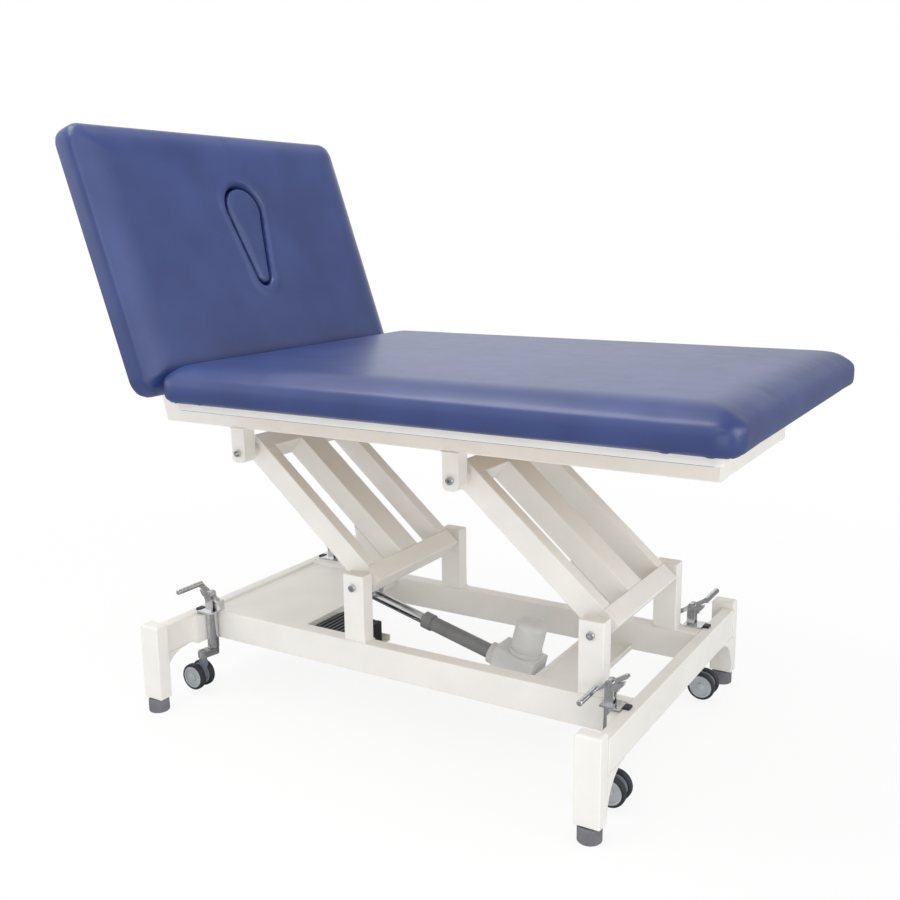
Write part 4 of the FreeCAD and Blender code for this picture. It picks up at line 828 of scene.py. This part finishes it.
motorX, motorZ = 285, 108
ringPair("leverPinRings", "head_arm", (-241.009, 0, 243.015), 40.2, (6.05, 9.6, 1.5))
ringPair("motorPinRings", "base", (motorX, 0, motorZ), 22.2, (6.05, 9.4, 1.5))
ringPair("hingePinRings", "top_frame", (-520, 0, 865.87), 193.3, (6.05, 9.2, 1.4), -1)

wheelLook = {"xMm": 593, "yMm": 301, "zMm": 45, "treadMm": 9.0, "capMm": 24.8}
treadProfile = mm(
    (28.6, -0.1), (28.8, -0.35), (31.6, -0.3), (34.0, 0.7), (35.2, 2.6), (35.45, 5.0), (35.45, 11.0),
    (35.2, 13.4), (34.0, 15.3), (31.6, 16.3), (28.8, 16.35), (28.6, 16.1), (28.6, -0.1))
capProfile = mm((0, 0), (9.4, 0), (9.4, 1.2), (8.4, 1.9), (3.2, 2.3), (2.4, 1.7), (0, 1.7))
for corner in corners:
    side = 1 if "far" in corner else -1
    end = 1 if "foot" in corner else -1
    wheelX, wheelY, wheelZ = end * wheelLook["xMm"], side * wheelLook["yMm"], wheelLook["zMm"]
    shape = bmesh.new()
    ringInto(shape, at(end * 574, wheelY, 115.1), 5.55, 9.0, 1.2)
    pieceFrom("stemRing_" + corner, shape, zincPlate, "caster_" + corner)
    shape = bmesh.new()
    for face in (-1, 1):
        place = at(wheelX, wheelY + face * wheelLook["treadMm"], wheelZ, (0, face, 0))
        spunInto(shape, treadProfile, place, 48)
    pieceFrom("treads_" + corner, shape, treadRubber, "wheels_" + corner)
    shape = bmesh.new()
    for face in (-1, 1):
        place = at(wheelX, wheelY + face * wheelLook["capMm"], wheelZ, (0, face, 0))
        spunInto(shape, capProfile, place, 28)
    pieceFrom("hubCaps_" + corner, shape, discGrey, "wheels_" + corner)
    ringPair("pedalPinRings_" + corner, "base", (end * 568, side * 266, 263), 11.4, (4.05, 6.4, 1.1))
print("rings, treads and screws made")

wiperLook = {"degrees": 14.3958, "reachMm": 361.8}
swing = math.radians(wiperLook["degrees"])
along = Vector((-math.cos(swing), 0, math.sin(swing)))
place = at(motorX + along.x * wiperLook["reachMm"], 0, motorZ + along.z * wiperLook["reachMm"], along)
shape = bmesh.new()
profile = mm((14.15, 0), (17.4, 0), (17.4, 2.4), (16.6, 3.4), (14.6, 4.4), (14.15, 4.2), (14.15, 0))
spunInto(shape, profile, place, 40)
pieceFrom("rodWiper", shape, treadRubber, "actuator")

# beads of weld where tubes meet, sprayed over with the frame's paint
weldLook = {"radiusMm": 2.3, "spreadMm": 0.8}


def beadsFrom(name, loops, body):
    data = bpy.data.curves.new(name, "CURVE")
    data.dimensions = "3D"
    data.bevel_depth = weldLook["radiusMm"] / 1000
    data.bevel_resolution = 2
    for loop in loops:
        spline = data.splines.new("POLY")
        spline.points.add(len(loop) - 1)
        for point, place in zip(spline.points, loop):
            point.co = (place[0] / 1000 - middle, place[1] / 1000, place[2] / 1000, 1)
        spline.use_cyclic_u = True
    holder = bpy.data.objects.new(name + "Path", data)
    bpy.context.scene.collection.objects.link(holder)
    graph = bpy.context.evaluated_depsgraph_get()
    mesh = bpy.data.meshes.new_from_object(holder.evaluated_get(graph), depsgraph=graph)
    bpy.data.objects.remove(holder)
    shape = bmesh.new()
    shape.from_mesh(mesh)
    pieceFrom(name, shape, paint, body, 60)


def flatLoop(x, y, z):
    # a rectangle, level where the height is one number and upright where the width across is
    if isinstance(z, (int, float)):
        return [(x[0], y[0], z), (x[1], y[0], z), (x[1], y[1], z), (x[0], y[1], z)]
    return [(x[0], y, z[0]), (x[1], y, z[0]), (x[1], y, z[1]), (x[0], y, z[1])]


spread = weldLook["spreadMm"]
halfSpread = spread / 2
postLoops, beamLoops, bracketLoops, bearerLoops = [], [], [], []


def spanRound(x, halfWide):
    return (x - halfWide - spread, x + halfWide + spread)


for side in (-1, 1):
    rail = tuple(sorted((side * (210 - spread), side * (250 + spread))))
    for x in (-112, 514):
        postLoops.append(flatLoop(spanRound(x, 30), rail, 214 + halfSpread))
    for x in (-614, 614):
        beamLoops.append(flatLoop(spanRound(x, 15), side * (421 - halfSpread), (138 - spread, 214 + spread)))
    for x in (-458.2, 167.8):
        bracketLoops.append(flatLoop(spanRound(x, 21), rail, 717.87 - halfSpread))
    for x in seatScrewLook["bearers"]:
        bearerLoops.append(flatLoop(spanRound(x, 20), side * (210 - halfSpread), (757.87 - spread, 796.5)))
beadsFrom("postWelds", postLoops, "base")
beadsFrom("beamWelds", beamLoops, "base")
beadsFrom("bracketWelds", bracketLoops, "top_frame")
beadsFrom("bearerWelds", bearerLoops, "top_frame")
print("welds made")
